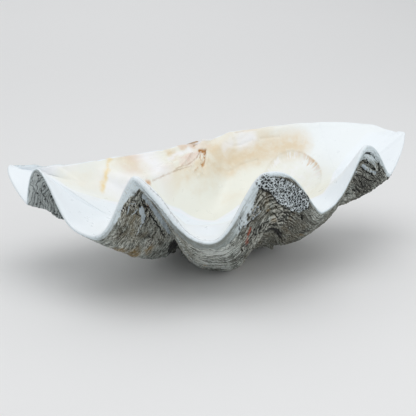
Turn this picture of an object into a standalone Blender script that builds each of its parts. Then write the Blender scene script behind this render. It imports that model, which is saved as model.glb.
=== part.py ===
"""One valve of a giant clam, lying on its outer side with the open side up.

Metres, +Z up. The hinge is toward +Y, the wavy edge toward -Y and the long axis is X. The valve is one
solid: an outer skin that grew outward from the beak on a spiral, a smooth bowl inside it, and a rounded
lip that joins the two along the edge.
"""

import math

import bpy
import numpy as np
from mathutils import Vector
from mathutils.bvhtree import BVHTree

# Marks along the edge, in metres from the umbo: x, y, level of the line through the low points, height
# of the fold above it, bias of the flank before and after a crest, sharpness of the crest
EDGE = {
    "left tip": (-0.359, -0.085, 0.0045, 0.0, 1.0, 1.0, 0.0),
    "valley at the left end": (-0.338, -0.197, -0.029, 0.0, 1.0, 1.0, 0.0),
    "first crest": (-0.319, -0.207, -0.042, 0.076, 0.7, 1.6, 0.3),
    "second valley": (-0.252, -0.299, -0.055, 0.0, 1.0, 1.0, 0.0),
    "second crest": (-0.181, -0.353, -0.058, 0.109, 1.6, 1.2, 0.4),
    "middle valley": (-0.064, -0.360, -0.062, 0.0, 1.0, 1.0, 0.0),
    "third crest": (0.024, -0.375, -0.058, 0.109, 1.15, 0.67, 0.0),
    "fourth valley": (0.148, -0.286, -0.053, 0.0, 1.0, 1.0, 0.0),
    "fourth crest": (0.242, -0.239, -0.042, 0.084, 1.5, 0.8, 0.1),
    "valley at the right end": (0.316, -0.179, -0.031, 0.0, 1.0, 1.0, 0.0),
    "right tip": (0.373, -0.101, 0.024, 0.0, 1.0, 1.0, 0.0),
    "notch by the right tip": (0.350, -0.078, 0.022, 0.0, 1.0, 1.0, 0.0),
    "right shoulder": (0.328, -0.062, 0.027, 0.0, 1.0, 1.0, 0.0),
    "right back edge": (0.278, -0.036, 0.031, 0.0, 1.0, 1.0, 0.0),
    "middle of the right back edge": (0.194, -0.015, 0.029, 0.0, 1.0, 1.0, 0.0),
    "right of the umbo": (0.118, 0.0, 0.018, 0.0, 1.0, 1.0, 0.0),
    "beside the umbo": (0.063, 0.012, 0.011, 0.0, 1.0, 1.0, 0.0),
    "umbo": (0.0, 0.0, 0.0, 0.0, 1.0, 1.0, 0.0),
    "hinge": (-0.103, -0.037, 0.0, 0.0, 1.0, 1.0, 0.0),
    "left end of the hinge": (-0.177, -0.059, 0.0, 0.0, 1.0, 1.0, 0.0),
    "left back edge": (-0.248, -0.086, 0.002, 0.0, 1.0, 1.0, 0.0),
    "left shoulder": (-0.303, -0.095, 0.004, 0.0, 1.0, 1.0, 0.0),
}
MARK_STEPS = 40

# Growth of the outer skin on its spiral about the beak
BEAK = (0.0, 0.020, -0.016)
HINGE_SWEEP = 0.20
HINGE_BEND = 0.060
SPIRAL = 1.5
SPIRAL_SOFTNESS = 0.05
SMALLEST_GROWTH = 0.012
FOLD_FADE = 1.5
END_FOLD_FADE = 4.8
GROOVE_NARROWING = 6.0
GROOVE_START = (0.25, 0.45)
END_START = (0.22, 0.09)
FOLD_HEIGHT = 0.109
RIB_TOP = 0.06
RIB_BULGE = 0.012
BULGE_START = (0.12, 0.08)
RIB_LEAN = 0.036
LEAN_START = (0.05, 0.15)
LEAN_LOST = 0.6
LEAN_LOST_START = (0.05, 0.20)

# Ledges where growth stopped for a while, and the lumps of a worn surface: height, then how often and
# how far each wave runs round the edge and along the growth
LEDGE_HEIGHT = 0.0055
LEDGE_COUNT = 12.0
LEDGE_CROWDING = 1.3
LEDGE_SLOPE = 0.8
LEDGE_WAVES = ((0.35, 9.0, 4.0), (0.20, 23.0, -11.0))
LEDGE_CHANGE = (0.55, 0.45, 5.0, 2.1)
LEDGE_BACK = (0.3, 0.02, 0.10)
LUMP_HEIGHT = 0.002
LUMP_WAVES = ((1.0, 31.0, 7.0, 26.0, -5.0), (0.6, 53.0, -17.0, 47.0, 13.0))

# The lip and the bowl
LIP_WIDTH = 0.011
BOWL_CENTRE = (-0.030, -0.165)
BOWL_DEPTH = 0.118
FLOOR_RISE = (0.22, 0.30)
FLOOR_FLAT = (-0.060, 0.030)
THICKEST_WALL = 0.026
WALL_BLEND = 0.45
MOST_LIFT = 0.012
RIM_BLEND = 0.20
SPINE_BEND = 0.040
HALF_LENGTH = 0.360
SHELF_REACH = 0.60
SHELF_START = 0.11
SHELF_BLEND = 0.26
BACK_STEEPNESS = 2.6
FOLD_REACH = 0.32

# The hinge plate, a facet sloping into the bowl below the left back edge, with its ridge and socket
PLATE_SLOPE = 0.50
PLATE_WIDTH = 0.056
PLATE_DROP = 1.7
PLATE_ENDS = (-0.245, 0.080)
PLATE_FADE = (0.110, 0.110)
PLATE_TAPER = 0.85
PLATE_BLEND = 0.006
TOOTH = ((-0.030, -0.036), (-0.048, -0.054), (-0.092, -0.078))
TOOTH_HEIGHT = 0.005
TOOTH_WIDTH = 0.008
SOCKET = ((0.002, -0.017), (-0.006, -0.054))
SOCKET_DEPTH = 0.006
SOCKET_WIDTH = 0.007

# The scar of the closing muscle
SCAR_CENTRE = (0.148, -0.100)
SCAR_RADIUS = (0.068, 0.070)
SCAR_DEPTH = 0.003
SCAR_BLEND = 0.12

# Height of the ground below the umbo
GROUND = -0.1755

# Fineness
AROUND = 320
OUTER_RINGS = 110
LIP_RINGS = 7
INNER_RINGS = 70
VOXEL = 0.0035
TRIANGLES = 9600


def smooth(x):
    """0 below 0, 1 above 1 and an S between."""
    x = np.clip(x, 0.0, 1.0)
    return x * x * (3.0 - 2.0 * x)


def ramp(x, start):
    """0 up to the start, and an S up to 1 over the width that follows it."""
    return smooth((x - start[0]) / start[1])


def highest(a, b, blend):
    """The higher of two heights, rounded where they cross."""
    h = np.clip(0.5 + 0.5 * (a - b) / blend, 0.0, 1.0)
    return b + (a - b) * h + blend * h * (1.0 - h)


def fold_rise(u, bias, sharpness):
    """How far up its fold the edge is at share u of the way from the valley to the crest."""
    v = u**bias
    rounded = 0.5 - 0.5 * np.cos(math.pi * v)
    pointed = v * (0.35 + 0.65 * v)
    return (1.0 - sharpness) * rounded + sharpness * pointed


def edge_points(count):
    """Points evenly along the edge: x, y, level and fold."""
    rows = np.array(list(EDGE.values()))
    places = rows[:, :3]
    ahead = np.roll(places, -1, axis=0) - places
    reach = np.sqrt(np.linalg.norm(ahead[:, :2], axis=1))[:, None]
    before = np.roll(reach, 1, axis=0)
    slope = ahead / reach
    tangent = (np.roll(slope, 1, axis=0) * reach + slope * before) / (reach + before)
    t = np.linspace(0.0, 1.0, MARK_STEPS, endpoint=False)[:, None]
    line = []
    fold = []
    for i in range(len(rows)):
        j = (i + 1) % len(rows)
        start = (1.0 + 2.0 * t) * (1.0 - t) ** 2 * places[i] + t * (1.0 - t) ** 2 * reach[i] * tangent[i]
        end = t * t * (3.0 - 2.0 * t) * places[j] - t * t * (1.0 - t) * reach[i] * tangent[j]
        part = start + end
        line.append(part)
        lengths = np.linalg.norm(np.diff(np.vstack([part, places[j : j + 1]])[:, :2], axis=0), axis=1)
        u = np.concatenate([[0.0], np.cumsum(lengths)])[:-1] / lengths.sum()
        if rows[j, 3] > 0.0:
            fold.append(rows[j, 3] * fold_rise(u, rows[j, 4], rows[j, 6]))
        elif rows[i, 3] > 0.0:
            fold.append(rows[i, 3] * fold_rise(1.0 - u, rows[i, 5], rows[i, 6]))
        else:
            fold.append(np.zeros(MARK_STEPS))
    closed = np.column_stack([np.concatenate(line), np.concatenate(fold)])
    closed = np.vstack([closed, closed[:1]])
    in_space = np.column_stack([closed[:, :2], closed[:, 2] + closed[:, 3]])
    along = np.concatenate([[0.0], np.cumsum(np.linalg.norm(np.diff(in_space, axis=0), axis=1))])
    wanted = np.linspace(0.0, along[-1], count, endpoint=False)
    return np.column_stack([np.interp(wanted, along, closed[:, k]) for k in range(4)])


def hinge_line(x):
    """How far toward -Y the axis of growth lies at x: straight to the right, swept back to the left."""
    return 0.5 * HINGE_SWEEP * (HINGE_BEND + x - np.sqrt(x * x + HINGE_BEND**2))


def skin_points(edge, growth):
    """The outer skin: for each growth from 1 at the edge to 0 at the beak, the edge as it then was."""
    s = growth[:, None]
    x, y, level, fold = (edge[None, :, k] for k in range(4))
    # 1 two thirds of the way from the beak, 0 at both ends
    hump = 6.75 * s * s * (1.0 - s)
    on_rib = np.clip(1.0 - fold / RIB_TOP, 0.0, 1.0) ** 1.5 * ramp(-y, BULGE_START)
    lean = RIB_LEAN * (1.0 - LEAN_LOST * ramp(x, LEAN_LOST_START)) * ramp(-y, LEAN_START)
    ahead = s * (y - BEAK[1] - hinge_line(x))

    # The grooves between the ribs, narrower and shallower toward the beak
    fade = FOLD_FADE + END_FOLD_FADE * ramp(np.abs(x), END_START)
    narrow = (np.maximum(fold, 1e-6) / FOLD_HEIGHT) ** (GROOVE_NARROWING * (1.0 - s))
    groove = fold * narrow * s**fade * ramp(s, GROOVE_START)
    up = s * (level - BEAK[2]) + groove - RIB_BULGE * on_rib * hump
    turn = SPIRAL * np.log((1.0 + SPIRAL_SOFTNESS) / (s + SPIRAL_SOFTNESS))
    return np.stack(
        [
            BEAK[0] + s * (x - BEAK[0]) + lean * hump,
            BEAK[1] + hinge_line(s * x) + ahead * np.cos(turn) - up * np.sin(turn),
            BEAK[2] + ahead * np.sin(turn) + up * np.cos(turn),
        ],
        axis=-1,
    )


def normals_of(points):
    """Unit normals of a grid of points whose columns go round."""
    across = np.roll(points, -1, axis=1) - np.roll(points, 1, axis=1)
    down = np.gradient(points, axis=0)
    normal = np.cross(across, down)
    return normal / np.maximum(np.linalg.norm(normal, axis=-1, keepdims=True), 1e-12)


def ledges(growth, edge):
    """Steps left by stops in growth, and the lumps of a worn and bored surface, as heights outward."""
    s = growth[:, None]
    around = np.arctan2(edge[:, 1] - BEAK[1], edge[:, 0] - BEAK[0])[None, :]
    phase = LEDGE_COUNT * s**LEDGE_CROWDING
    for amount, turns, along in LEDGE_WAVES:
        phase = phase + amount * np.sin(turns * around + along * s)
    step = phase - np.floor(phase)
    saw = np.where(step < LEDGE_SLOPE, step / LEDGE_SLOPE, (1.0 - step) / (1.0 - LEDGE_SLOPE))
    usual, change, turns, along = LEDGE_CHANGE
    strength = usual + change * np.sin(turns * around + along * np.floor(phase))
    lumps = np.zeros_like(saw)
    for amount, turns, along, growing, crossing in LUMP_WAVES:
        lumps += amount * np.sin(turns * around + along * s) * np.sin(growing * s + crossing * around)
    fade = smooth((1.0 - s) / 0.05) * ramp(s, (0.03, 0.20))
    kept, start, width = LEDGE_BACK
    fade = fade * (kept + (1.0 - kept) * ramp(-edge[None, :, 1], (start, width)))
    return fade * (LEDGE_HEIGHT * strength * saw + LUMP_HEIGHT * lumps)


def ridge_along(x, y, line, width):
    """1 on a line of points in plan, falling to 0 at the width to either side."""
    best = np.full(np.shape(x), 1e9)
    for (ax, ay), (bx, by) in zip(line, line[1:]):
        t = ((x - ax) * (bx - ax) + (y - ay) * (by - ay)) / ((bx - ax) ** 2 + (by - ay) ** 2)
        t = np.clip(t, 0.0, 1.0)
        best = np.minimum(best, np.hypot(x - ax - t * (bx - ax), y - ay - t * (by - ay)))
    return smooth(1.0 - best / width)


def back_edge(edge):
    """The edge along the hinge side, from the left tip to the right one, as x, y and height."""
    left = np.argmin(edge[:, 0])
    right = np.argmax(edge[:, 0])
    back = np.vstack([edge[right:], edge[: left + 1]])[::-1]
    back = back[np.argsort(back[:, 0])]
    return back[:, 0], back[:, 1], back[:, 2]


def bowl_points(rim, edge, shares):
    """The bowl: for each share from 1 at the rim to 0 at the deepest place, a ring of points."""
    k = shares[:, None]

    def spine(x):
        return BOWL_CENTRE[1] + SPINE_BEND * (x / HALF_LENGTH) ** 2

    x = BOWL_CENTRE[0] + k * (rim[None, :, 0] - BOWL_CENTRE[0])
    y = spine(x) + k * (rim[None, :, 1] - spine(rim[None, :, 0]))

    # Where the point lies as seen from the beak, which the folds point at
    front = edge[np.argmin(edge[:, 0]) : np.argmax(edge[:, 0]) + 1]
    bearing = np.arctan2(front[:, 1] - BEAK[1], front[:, 0] - BEAK[0])
    reach = np.hypot(front[:, 0] - BEAK[0], front[:, 1] - BEAK[1])
    here = np.arctan2(y - BEAK[1], x - BEAK[0])
    here = np.where(here > 0.5 * math.pi, here - 2.0 * math.pi, here)
    share = np.hypot(x - BEAK[0], y - BEAK[1]) / np.interp(here, bearing, reach)
    level = edge[None, :, 2]
    fold = np.interp(here, bearing, front[:, 3], left=0.0, right=0.0)
    fold = fold + np.interp(here, bearing, front[:, 2]) - level
    u = np.clip((share - 1.0 + FOLD_REACH) / FOLD_REACH, 0.0, 1.05)
    fold = fold * u * u * (1.6 - 0.6 * u)

    # The floor rises to both ends; the back wall is steep, the front has a shelf behind the waves
    floor = -BOWL_DEPTH + FLOOR_RISE[1] * np.maximum(0.0, x - FLOOR_FLAT[1])
    floor = floor + FLOOR_RISE[0] * np.maximum(0.0, FLOOR_FLAT[0] - x)
    front_side = smooth((-edge[None, :, 1] - SHELF_START) / SHELF_BLEND)
    profile = front_side * smooth(k / SHELF_REACH) + (1.0 - front_side) * k**BACK_STEEPNESS
    height = floor + (level - floor) * profile + fold

    # Hinge plate with its tooth and socket
    back_x, back_y, back_level = back_edge(edge)
    inward = np.interp(x, back_x, back_y) - y
    width = PLATE_WIDTH * smooth((x - PLATE_ENDS[0]) / PLATE_FADE[0])
    width = width * (1.0 - PLATE_TAPER * smooth((x - PLATE_ENDS[1] + PLATE_FADE[1]) / PLATE_FADE[1]))
    plate = np.interp(x, back_x, back_level) - PLATE_SLOPE * inward
    plate = plate - PLATE_DROP * np.maximum(0.0, inward - width)
    height = highest(height, plate, PLATE_BLEND)
    height = height + TOOTH_HEIGHT * ridge_along(x, y, TOOTH, TOOTH_WIDTH)
    height = height - SOCKET_DEPTH * ridge_along(x, y, SOCKET, SOCKET_WIDTH)

    # Muscle scar
    off = np.hypot((x - SCAR_CENTRE[0]) / SCAR_RADIUS[0], (y - SCAR_CENTRE[1]) / SCAR_RADIUS[1])
    height = height - SCAR_DEPTH * smooth((1.0 - off) / SCAR_BLEND)

    # Meet the rim exactly
    height = height + (rim[None, :, 2] - height[:1]) * smooth((k - 1.0 + RIM_BLEND) / RIM_BLEND)
    return np.stack([x, y, height], axis=-1)


def keep_wall(bowl, skin, shares):
    """Raises the bowl where it comes nearer to the outer skin than the wall is thick."""
    rows, around = skin.shape[:2]
    quads = [
        (i * around + j, i * around + (j + 1) % around, (i + 1) * around + (j + 1) % around, (i + 1) * around + j)
        for i in range(rows - 1)
        for j in range(around)
    ]
    tree = BVHTree.FromPolygons(skin.reshape(-1, 3).tolist(), quads)
    wall = LIP_WIDTH + (THICKEST_WALL - LIP_WIDTH) * smooth((1.0 - shares) / WALL_BLEND)
    raised = bowl.copy()
    for _ in range(3):
        lift = np.zeros(bowl.shape[:2])
        for i in range(1, len(bowl)):
            for j in range(around):
                point = Vector(raised[i, j])
                place, normal, _, distance = tree.find_nearest(point)
                inside = (point - place).dot(normal) > 0.0
                short = wall[i] - (distance if inside else -distance)
                if short > 0.0:
                    lift[i, j] = min(short, MOST_LIFT) * abs(normal.z)
        for _ in range(4):
            lift[1:-1] = 0.5 * lift[1:-1] + 0.125 * (
                lift[:-2] + lift[2:] + np.roll(lift[1:-1], 1, axis=1) + np.roll(lift[1:-1], -1, axis=1)
            )
        raised[:, :, 2] += lift
    return raised


def valve_rings():
    """Rings of points from the beak up the skin, over the lip and down to the middle of the bowl."""
    edge = edge_points(AROUND)
    growth = 1.0 - (1.0 - SMALLEST_GROWTH) * np.linspace(0.0, 1.0, OUTER_RINGS) ** 1.15
    skin = skin_points(edge, growth)
    out = normals_of(skin)
    if np.mean(out[0, :, 1] * (edge[:, 1] - BOWL_CENTRE[1])) < 0.0:
        out = -out
    crest = skin[0]
    inward = skin[2] - skin[0]
    inward = inward / np.linalg.norm(inward, axis=1, keepdims=True)
    rim = crest - LIP_WIDTH * out[0]
    plain_skin = skin
    skin = skin + out * ledges(growth, edge)[:, :, None]
    lip = []
    for turn in np.linspace(0.0, math.pi, LIP_RINGS)[1:-1]:
        middle = crest - 0.5 * LIP_WIDTH * out[0] * (1.0 - math.cos(turn))
        lip.append(middle - 0.5 * LIP_WIDTH * inward * math.sin(turn))
    shares = np.linspace(1.0, 0.0, INNER_RINGS, endpoint=False)
    bowl = keep_wall(bowl_points(rim, edge, shares), plain_skin, shares)
    return np.concatenate([skin[::-1], np.array(lip), bowl])


def closed_mesh(name, rings):
    """A mesh over the rings, closed by a point at each end."""
    rows, around = rings.shape[:2]
    ends = [rings[0].mean(axis=0), rings[-1].mean(axis=0)]
    vertices = np.vstack([rings.reshape(-1, 3), ends]).tolist()
    faces = []
    for i in range(rows - 1):
        for j in range(around):
            a = i * around + j
            b = i * around + (j + 1) % around
            faces.append((a, b, b + around, a + around))
    for j in range(around):
        after = (j + 1) % around
        faces.append((rows * around, after, j))
        faces.append((rows * around + 1, (rows - 1) * around + j, (rows - 1) * around + after))
    mesh = bpy.data.meshes.new(name)
    mesh.from_pydata(vertices, [], faces)
    mesh.validate()
    return mesh


def shell_material():
    material = bpy.data.materials.new("worn_shell")
    material.use_nodes = True
    shader = material.node_tree.nodes["Principled BSDF"]
    shader.inputs["Base Color"].default_value = (0.80, 0.76, 0.68, 1.0)
    shader.inputs["Roughness"].default_value = 0.45
    return material


def build():
    for old in list(bpy.data.objects):
        bpy.data.objects.remove(old, do_unlink=True)
    parts = bpy.data.collections.new("giant_clam_valve")
    cutters = bpy.data.collections.new("cutters")
    cutters.hide_render = True
    bpy.context.scene.collection.children.link(parts)
    bpy.context.scene.collection.children.link(cutters)

    rings = valve_rings()
    rings[:, :, 2] -= GROUND
    shell = bpy.data.objects.new("giant_clam_shell", closed_mesh("giant_clam_shell", rings))
    parts.objects.link(shell)
    shell.data.materials.append(shell_material())

    bpy.ops.mesh.primitive_cube_add(size=1.0)
    ground = bpy.context.object
    ground.name = "ground_cut"
    ground.scale = (2.0, 2.0, 0.2)
    ground.location = (0.0, 0.0, -0.1)
    for owner in list(ground.users_collection):
        owner.objects.unlink(ground)
    cutters.objects.link(ground)
    ground.hide_render = True
    ground.display_type = "WIRE"

    remesh = shell.modifiers.new("Even skin", "REMESH")
    remesh.mode = "VOXEL"
    remesh.voxel_size = VOXEL
    bpy.context.view_layer.update()
    graph = bpy.context.evaluated_depsgraph_get()
    dense = len(shell.evaluated_get(graph).data.polygons) * 2
    fewer = shell.modifiers.new("Facets", "DECIMATE")
    fewer.ratio = TRIANGLES / dense
    rest = shell.modifiers.new("Worn resting patches", "BOOLEAN")
    rest.operation = "DIFFERENCE"
    rest.solver = "EXACT"
    rest.object = ground

    # The middle of the resting box becomes the origin
    bpy.context.view_layer.update()
    graph = bpy.context.evaluated_depsgraph_get()
    corners = np.array([v.co[:] for v in shell.evaluated_get(graph).data.vertices])
    middle = (corners.min(axis=0) + corners.max(axis=0)) / 2.0
    shell.location = (-middle[0], -middle[1], 0.0)
    ground.location = (-middle[0], -middle[1], -0.1)
    shell.data.set_sharp_from_angle(angle=math.radians(50.0))


build()
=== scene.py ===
import math
from functools import cache, partial

import bpy
import numpy as np
from mathutils import Matrix, Vector, noise
from mathutils.bvhtree import BVHTree


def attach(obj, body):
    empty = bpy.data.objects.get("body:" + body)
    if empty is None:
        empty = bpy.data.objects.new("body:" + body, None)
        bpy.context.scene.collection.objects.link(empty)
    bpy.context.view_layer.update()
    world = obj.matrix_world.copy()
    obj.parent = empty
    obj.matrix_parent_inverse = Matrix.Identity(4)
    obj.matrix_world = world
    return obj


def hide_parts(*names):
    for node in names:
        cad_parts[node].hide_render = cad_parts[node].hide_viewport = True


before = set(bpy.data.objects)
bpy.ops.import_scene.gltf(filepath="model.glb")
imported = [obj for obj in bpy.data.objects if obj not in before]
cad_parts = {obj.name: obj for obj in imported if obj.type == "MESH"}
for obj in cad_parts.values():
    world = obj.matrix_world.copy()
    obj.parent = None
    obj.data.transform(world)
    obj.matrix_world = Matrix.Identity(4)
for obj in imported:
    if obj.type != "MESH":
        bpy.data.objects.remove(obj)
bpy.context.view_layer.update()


# Small helpers for numbers, nodes and meshes

def smooth(x):
    x = np.clip(x, 0.0, 1.0)
    return x * x * (3.0 - 2.0 * x)


def ramp(x, start):
    return smooth((x - start[0]) / start[1])


def bell(x, centre, width):
    return smooth(1.0 - np.abs(x - centre) / width)


def unit(vectors):
    return vectors / np.maximum(np.linalg.norm(vectors, axis=-1, keepdims=True), 1e-12)


def thousandths(numbers):
    # pairs that are written by turns, in thousandths
    return np.array(numbers).reshape(-1, 2) / 1000.0


def tableAt(share, numbers):
    # values at shares of the way round, from shares in thousandths and values by turns
    shares, values = np.array(numbers).reshape(-1, 2).T
    return np.interp(share, shares / 1000.0, values)


def lineDistance(x, y, line):
    best = np.full(np.shape(x), 1e9)
    for (ax, ay), (bx, by) in zip(line, line[1:]):
        t = ((x - ax) * (bx - ax) + (y - ay) * (by - ay)) / ((bx - ax) ** 2 + (by - ay) ** 2)
        t = np.clip(t, 0.0, 1.0)
        best = np.minimum(best, np.hypot(x - ax - t * (bx - ax), y - ay - t * (by - ay)))
    return best


def ridgeAlong(x, y, line, width):
    return smooth(1.0 - lineDistance(x, y, line) / width)


def besideSum(grid):
    # the four neighbours of each place on rings that close on themselves
    return grid[:-2] + grid[2:] + np.roll(grid[1:-1], 1, axis=1) + np.roll(grid[1:-1], -1, axis=1)


def evenOut(grid):
    grid[1:-1] = 0.25 * (grid[:-2] + grid[2:]) + 0.5 * grid[1:-1]
    grid[:, 1:-1] = 0.25 * (grid[:, :-2] + grid[:, 2:]) + 0.5 * grid[:, 1:-1]


def noiseAt(points, scale, seed=0.0, octaves=2):
    shift = Vector((seed, 1.7 * seed, 0.3 - seed))
    flat = np.asarray(points).reshape(-1, 3)
    values = [noise.fractal(Vector(p) * scale + shift, 0.9, 2.0, octaves) for p in flat.tolist()]
    return np.array(values).reshape(np.asarray(points).shape[:-1])


class Field:
    # a node's output that plain sums can be written with, in shader and geometry trees alike
    def __init__(self, tree, socket):
        self.tree = tree
        self.socket = socket

    def sum(self, operation, *others):
        made = addNode(self.tree, "ShaderNodeMath", operation=operation)
        for socket, value in zip(made.inputs, (self, *others)):
            plug(self.tree, socket, value)
        return Field(self.tree, made.outputs[0])

    def __rsub__(self, other):
        return self * -1.0 + other

    def __rtruediv__(self, other):
        return self.sum("POWER", -1.0) * other

    def between(self, low, high, toLow=0.0, toHigh=1.0):
        made = addNode(self.tree, "ShaderNodeMapRange", {0: self, 1: low, 2: high, 3: toLow, 4: toHigh},
                       interpolation_type="SMOOTHSTEP")
        return Field(self.tree, made.outputs[0])

    def within(self, riseFrom, riseTo, fallFrom, fallTo):
        return self.between(riseFrom, riseTo) * (1.0 - self.between(fallFrom, fallTo))

    def most(self, other):
        return self.sum("MAXIMUM", other)


fieldSums = {"__add__": "ADD", "__radd__": "ADD", "__sub__": "SUBTRACT", "__mul__": "MULTIPLY",
             "__rmul__": "MULTIPLY", "__truediv__": "DIVIDE"}
for method, sumName in fieldSums.items():
    setattr(Field, method, lambda self, other, operation=sumName: self.sum(operation, other))


def plug(tree, socket, value):
    if isinstance(value, Field):
        tree.links.new(value.socket, socket)
    elif isinstance(value, bpy.types.NodeSocket):
        tree.links.new(value, socket)
    else:
        socket.default_value = value


def addNode(tree, kind, inputs=None, **settings):
    made = tree.nodes.new(kind)
    for name, value in settings.items():
        setattr(made, name, value)
    for name, value in (inputs or {}).items():
        plug(tree, made.inputs[name], value)
    return made


def noiseField(tree, where, scale, detail=3.0, roughness=0.55, distortion=0.0):
    made = addNode(tree, "ShaderNodeTexNoise", {
        "Vector": where, "Scale": scale, "Detail": detail, "Roughness": roughness, "Distortion": distortion,
    })
    return Field(tree, made.outputs[0])


def rgb(red, green, blue):
    # a colour given as it looks on screen, 0 to 255
    def linear(v):
        v = v / 255.0
        return v / 12.92 if v <= 0.04045 else ((v + 0.055) / 1.055) ** 2.4
    return (linear(red), linear(green), linear(blue), 1.0)


def addObject(name, data):
    thing = bpy.data.objects.new(name, data)
    bpy.context.scene.collection.objects.link(thing)
    return thing


def addMesh(name, vertices, faces, fields):
    # one smooth mesh, with one number per point for each field
    mesh = bpy.data.meshes.new(name)
    mesh.from_pydata(vertices.tolist(), [], faces)
    for field, values in fields.items():
        made = mesh.attributes.new(field, "FLOAT", "POINT")
        made.data.foreach_set("value", values.astype(np.float32))
    mesh.shade_smooth()
    return addObject(name, mesh)


# The valve's form: the same growth rule as the solid's, in metres from the umbo
valve = {
    "umboPlace": (-0.00431, 0.15057, 0.1755),
    "beak": (0.0, 0.020, -0.016),
    "hingeSweep": 0.20, "hingeBend": 0.060,
    "spiral": 1.5, "spiralSoftness": 0.05, "smallestGrowth": 0.012,
    "foldFade": 1.5, "endFoldFade": 4.8, "endStart": (0.22, 0.09),
    "grooveNarrowing": 6.0, "grooveStart": (0.25, 0.45), "foldHeight": 0.109,
    "ribTop": 0.06, "ribBulge": 0.012, "bulgeStart": (0.12, 0.08),
    "ribLean": 0.036, "leanStart": (0.05, 0.15), "leanLost": 0.6, "leanLostStart": (0.05, 0.20),
    # where the skin stands higher or lower than its rule: share, growth, half lengths and rise
    "swells": ((0.370, 0.725, 0.140, 0.085, 0.021), (0.064, 0.895, 0.045, 0.040, -0.016)),
    "columns": 664, "backDensity": 0.40, "frontStart": (0.05, 0.05), "stepsPerMark": 60,
    "tipMark": 10, "tipHalf": 0.0050, "tipReach": 0.0030, "tipRise": 0.0010,
    "nearLedges": 12, "nearGrowth": 0.72, "farLedges": 8, "farGrowth": 0.30, "lastRings": 9,
    "lipRings": 7, "bowlRings": 74,
    # shares of the way round from the left tip, past the waves, and the lip's thickness there in mm
    "lipWidths": (
        0, 6, 50, 3, 60, 1.8, 83, 2.2, 95, 4, 120, 6, 160, 6, 200, 9, 226, 10, 250, 13, 275, 11, 300, 8,
        340, 9, 373, 9, 420, 8, 450, 6, 480, 4.5, 510, 4.5, 530, 8, 560, 7, 600, 5, 650, 5, 750, 5, 850, 7,
        950, 6, 1000, 6,
    ),
    "backStart": (0.02, 0.10),
}

# Marks along the edge in mm: x, y and level. A crest also has its fold, bias on both sides, and sharpness.
edgeMarks = (
    (-359, -85, 4.5),  # left tip
    (-338, -197, -29),
    (-319, -207, -42, 76, 0.5, 1.6, 0.1),  # first crest
    (-252, -299, -55),
    (-181, -353, -58, 109, 1.6, 1.2, 0.4),  # second crest
    (-64, -360, -62),  # middle valley
    (24, -375, -58, 109, 1.15, 0.67, 0),  # third crest
    (148, -286, -53),
    (242, -239, -42, 84, 1.5, 0.8, 0.1),  # fourth crest
    (316, -179, -31),
    (370, -101, 20),  # right tip
    (350, -78, 22), (328, -62, 27), (278, -36, 31), (194, -15, 29), (118, 0, 18), (63, 12, 11),
    (0, 0, 0),  # umbo
    (-103, -37, 0), (-177, -59, 0), (-248, -86, 2), (-303, -95, 4),
)

# Small steps and chips along the back edge, in mm: x, rise, half width
backChips = (
    (-320, 2.2, 20), (-280, 2.2, 18), (-205, -1.2, 10), (-170, 1.5, 20), (-80, -1.6, 8), (-42, 2.2, 26),
    (4, 5, 9), (22, -1.4, 7), (60, 1.2, 12), (137, 1.8, 30), (215, -1, 14), (325, 2, 20), (362, -2.2, 8),
)


def foldRise(u, bias, sharpness):
    v = u**bias
    return (1.0 - sharpness) * (0.5 - 0.5 * np.cos(math.pi * v)) + sharpness * v * (0.35 + 0.65 * v)


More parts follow.
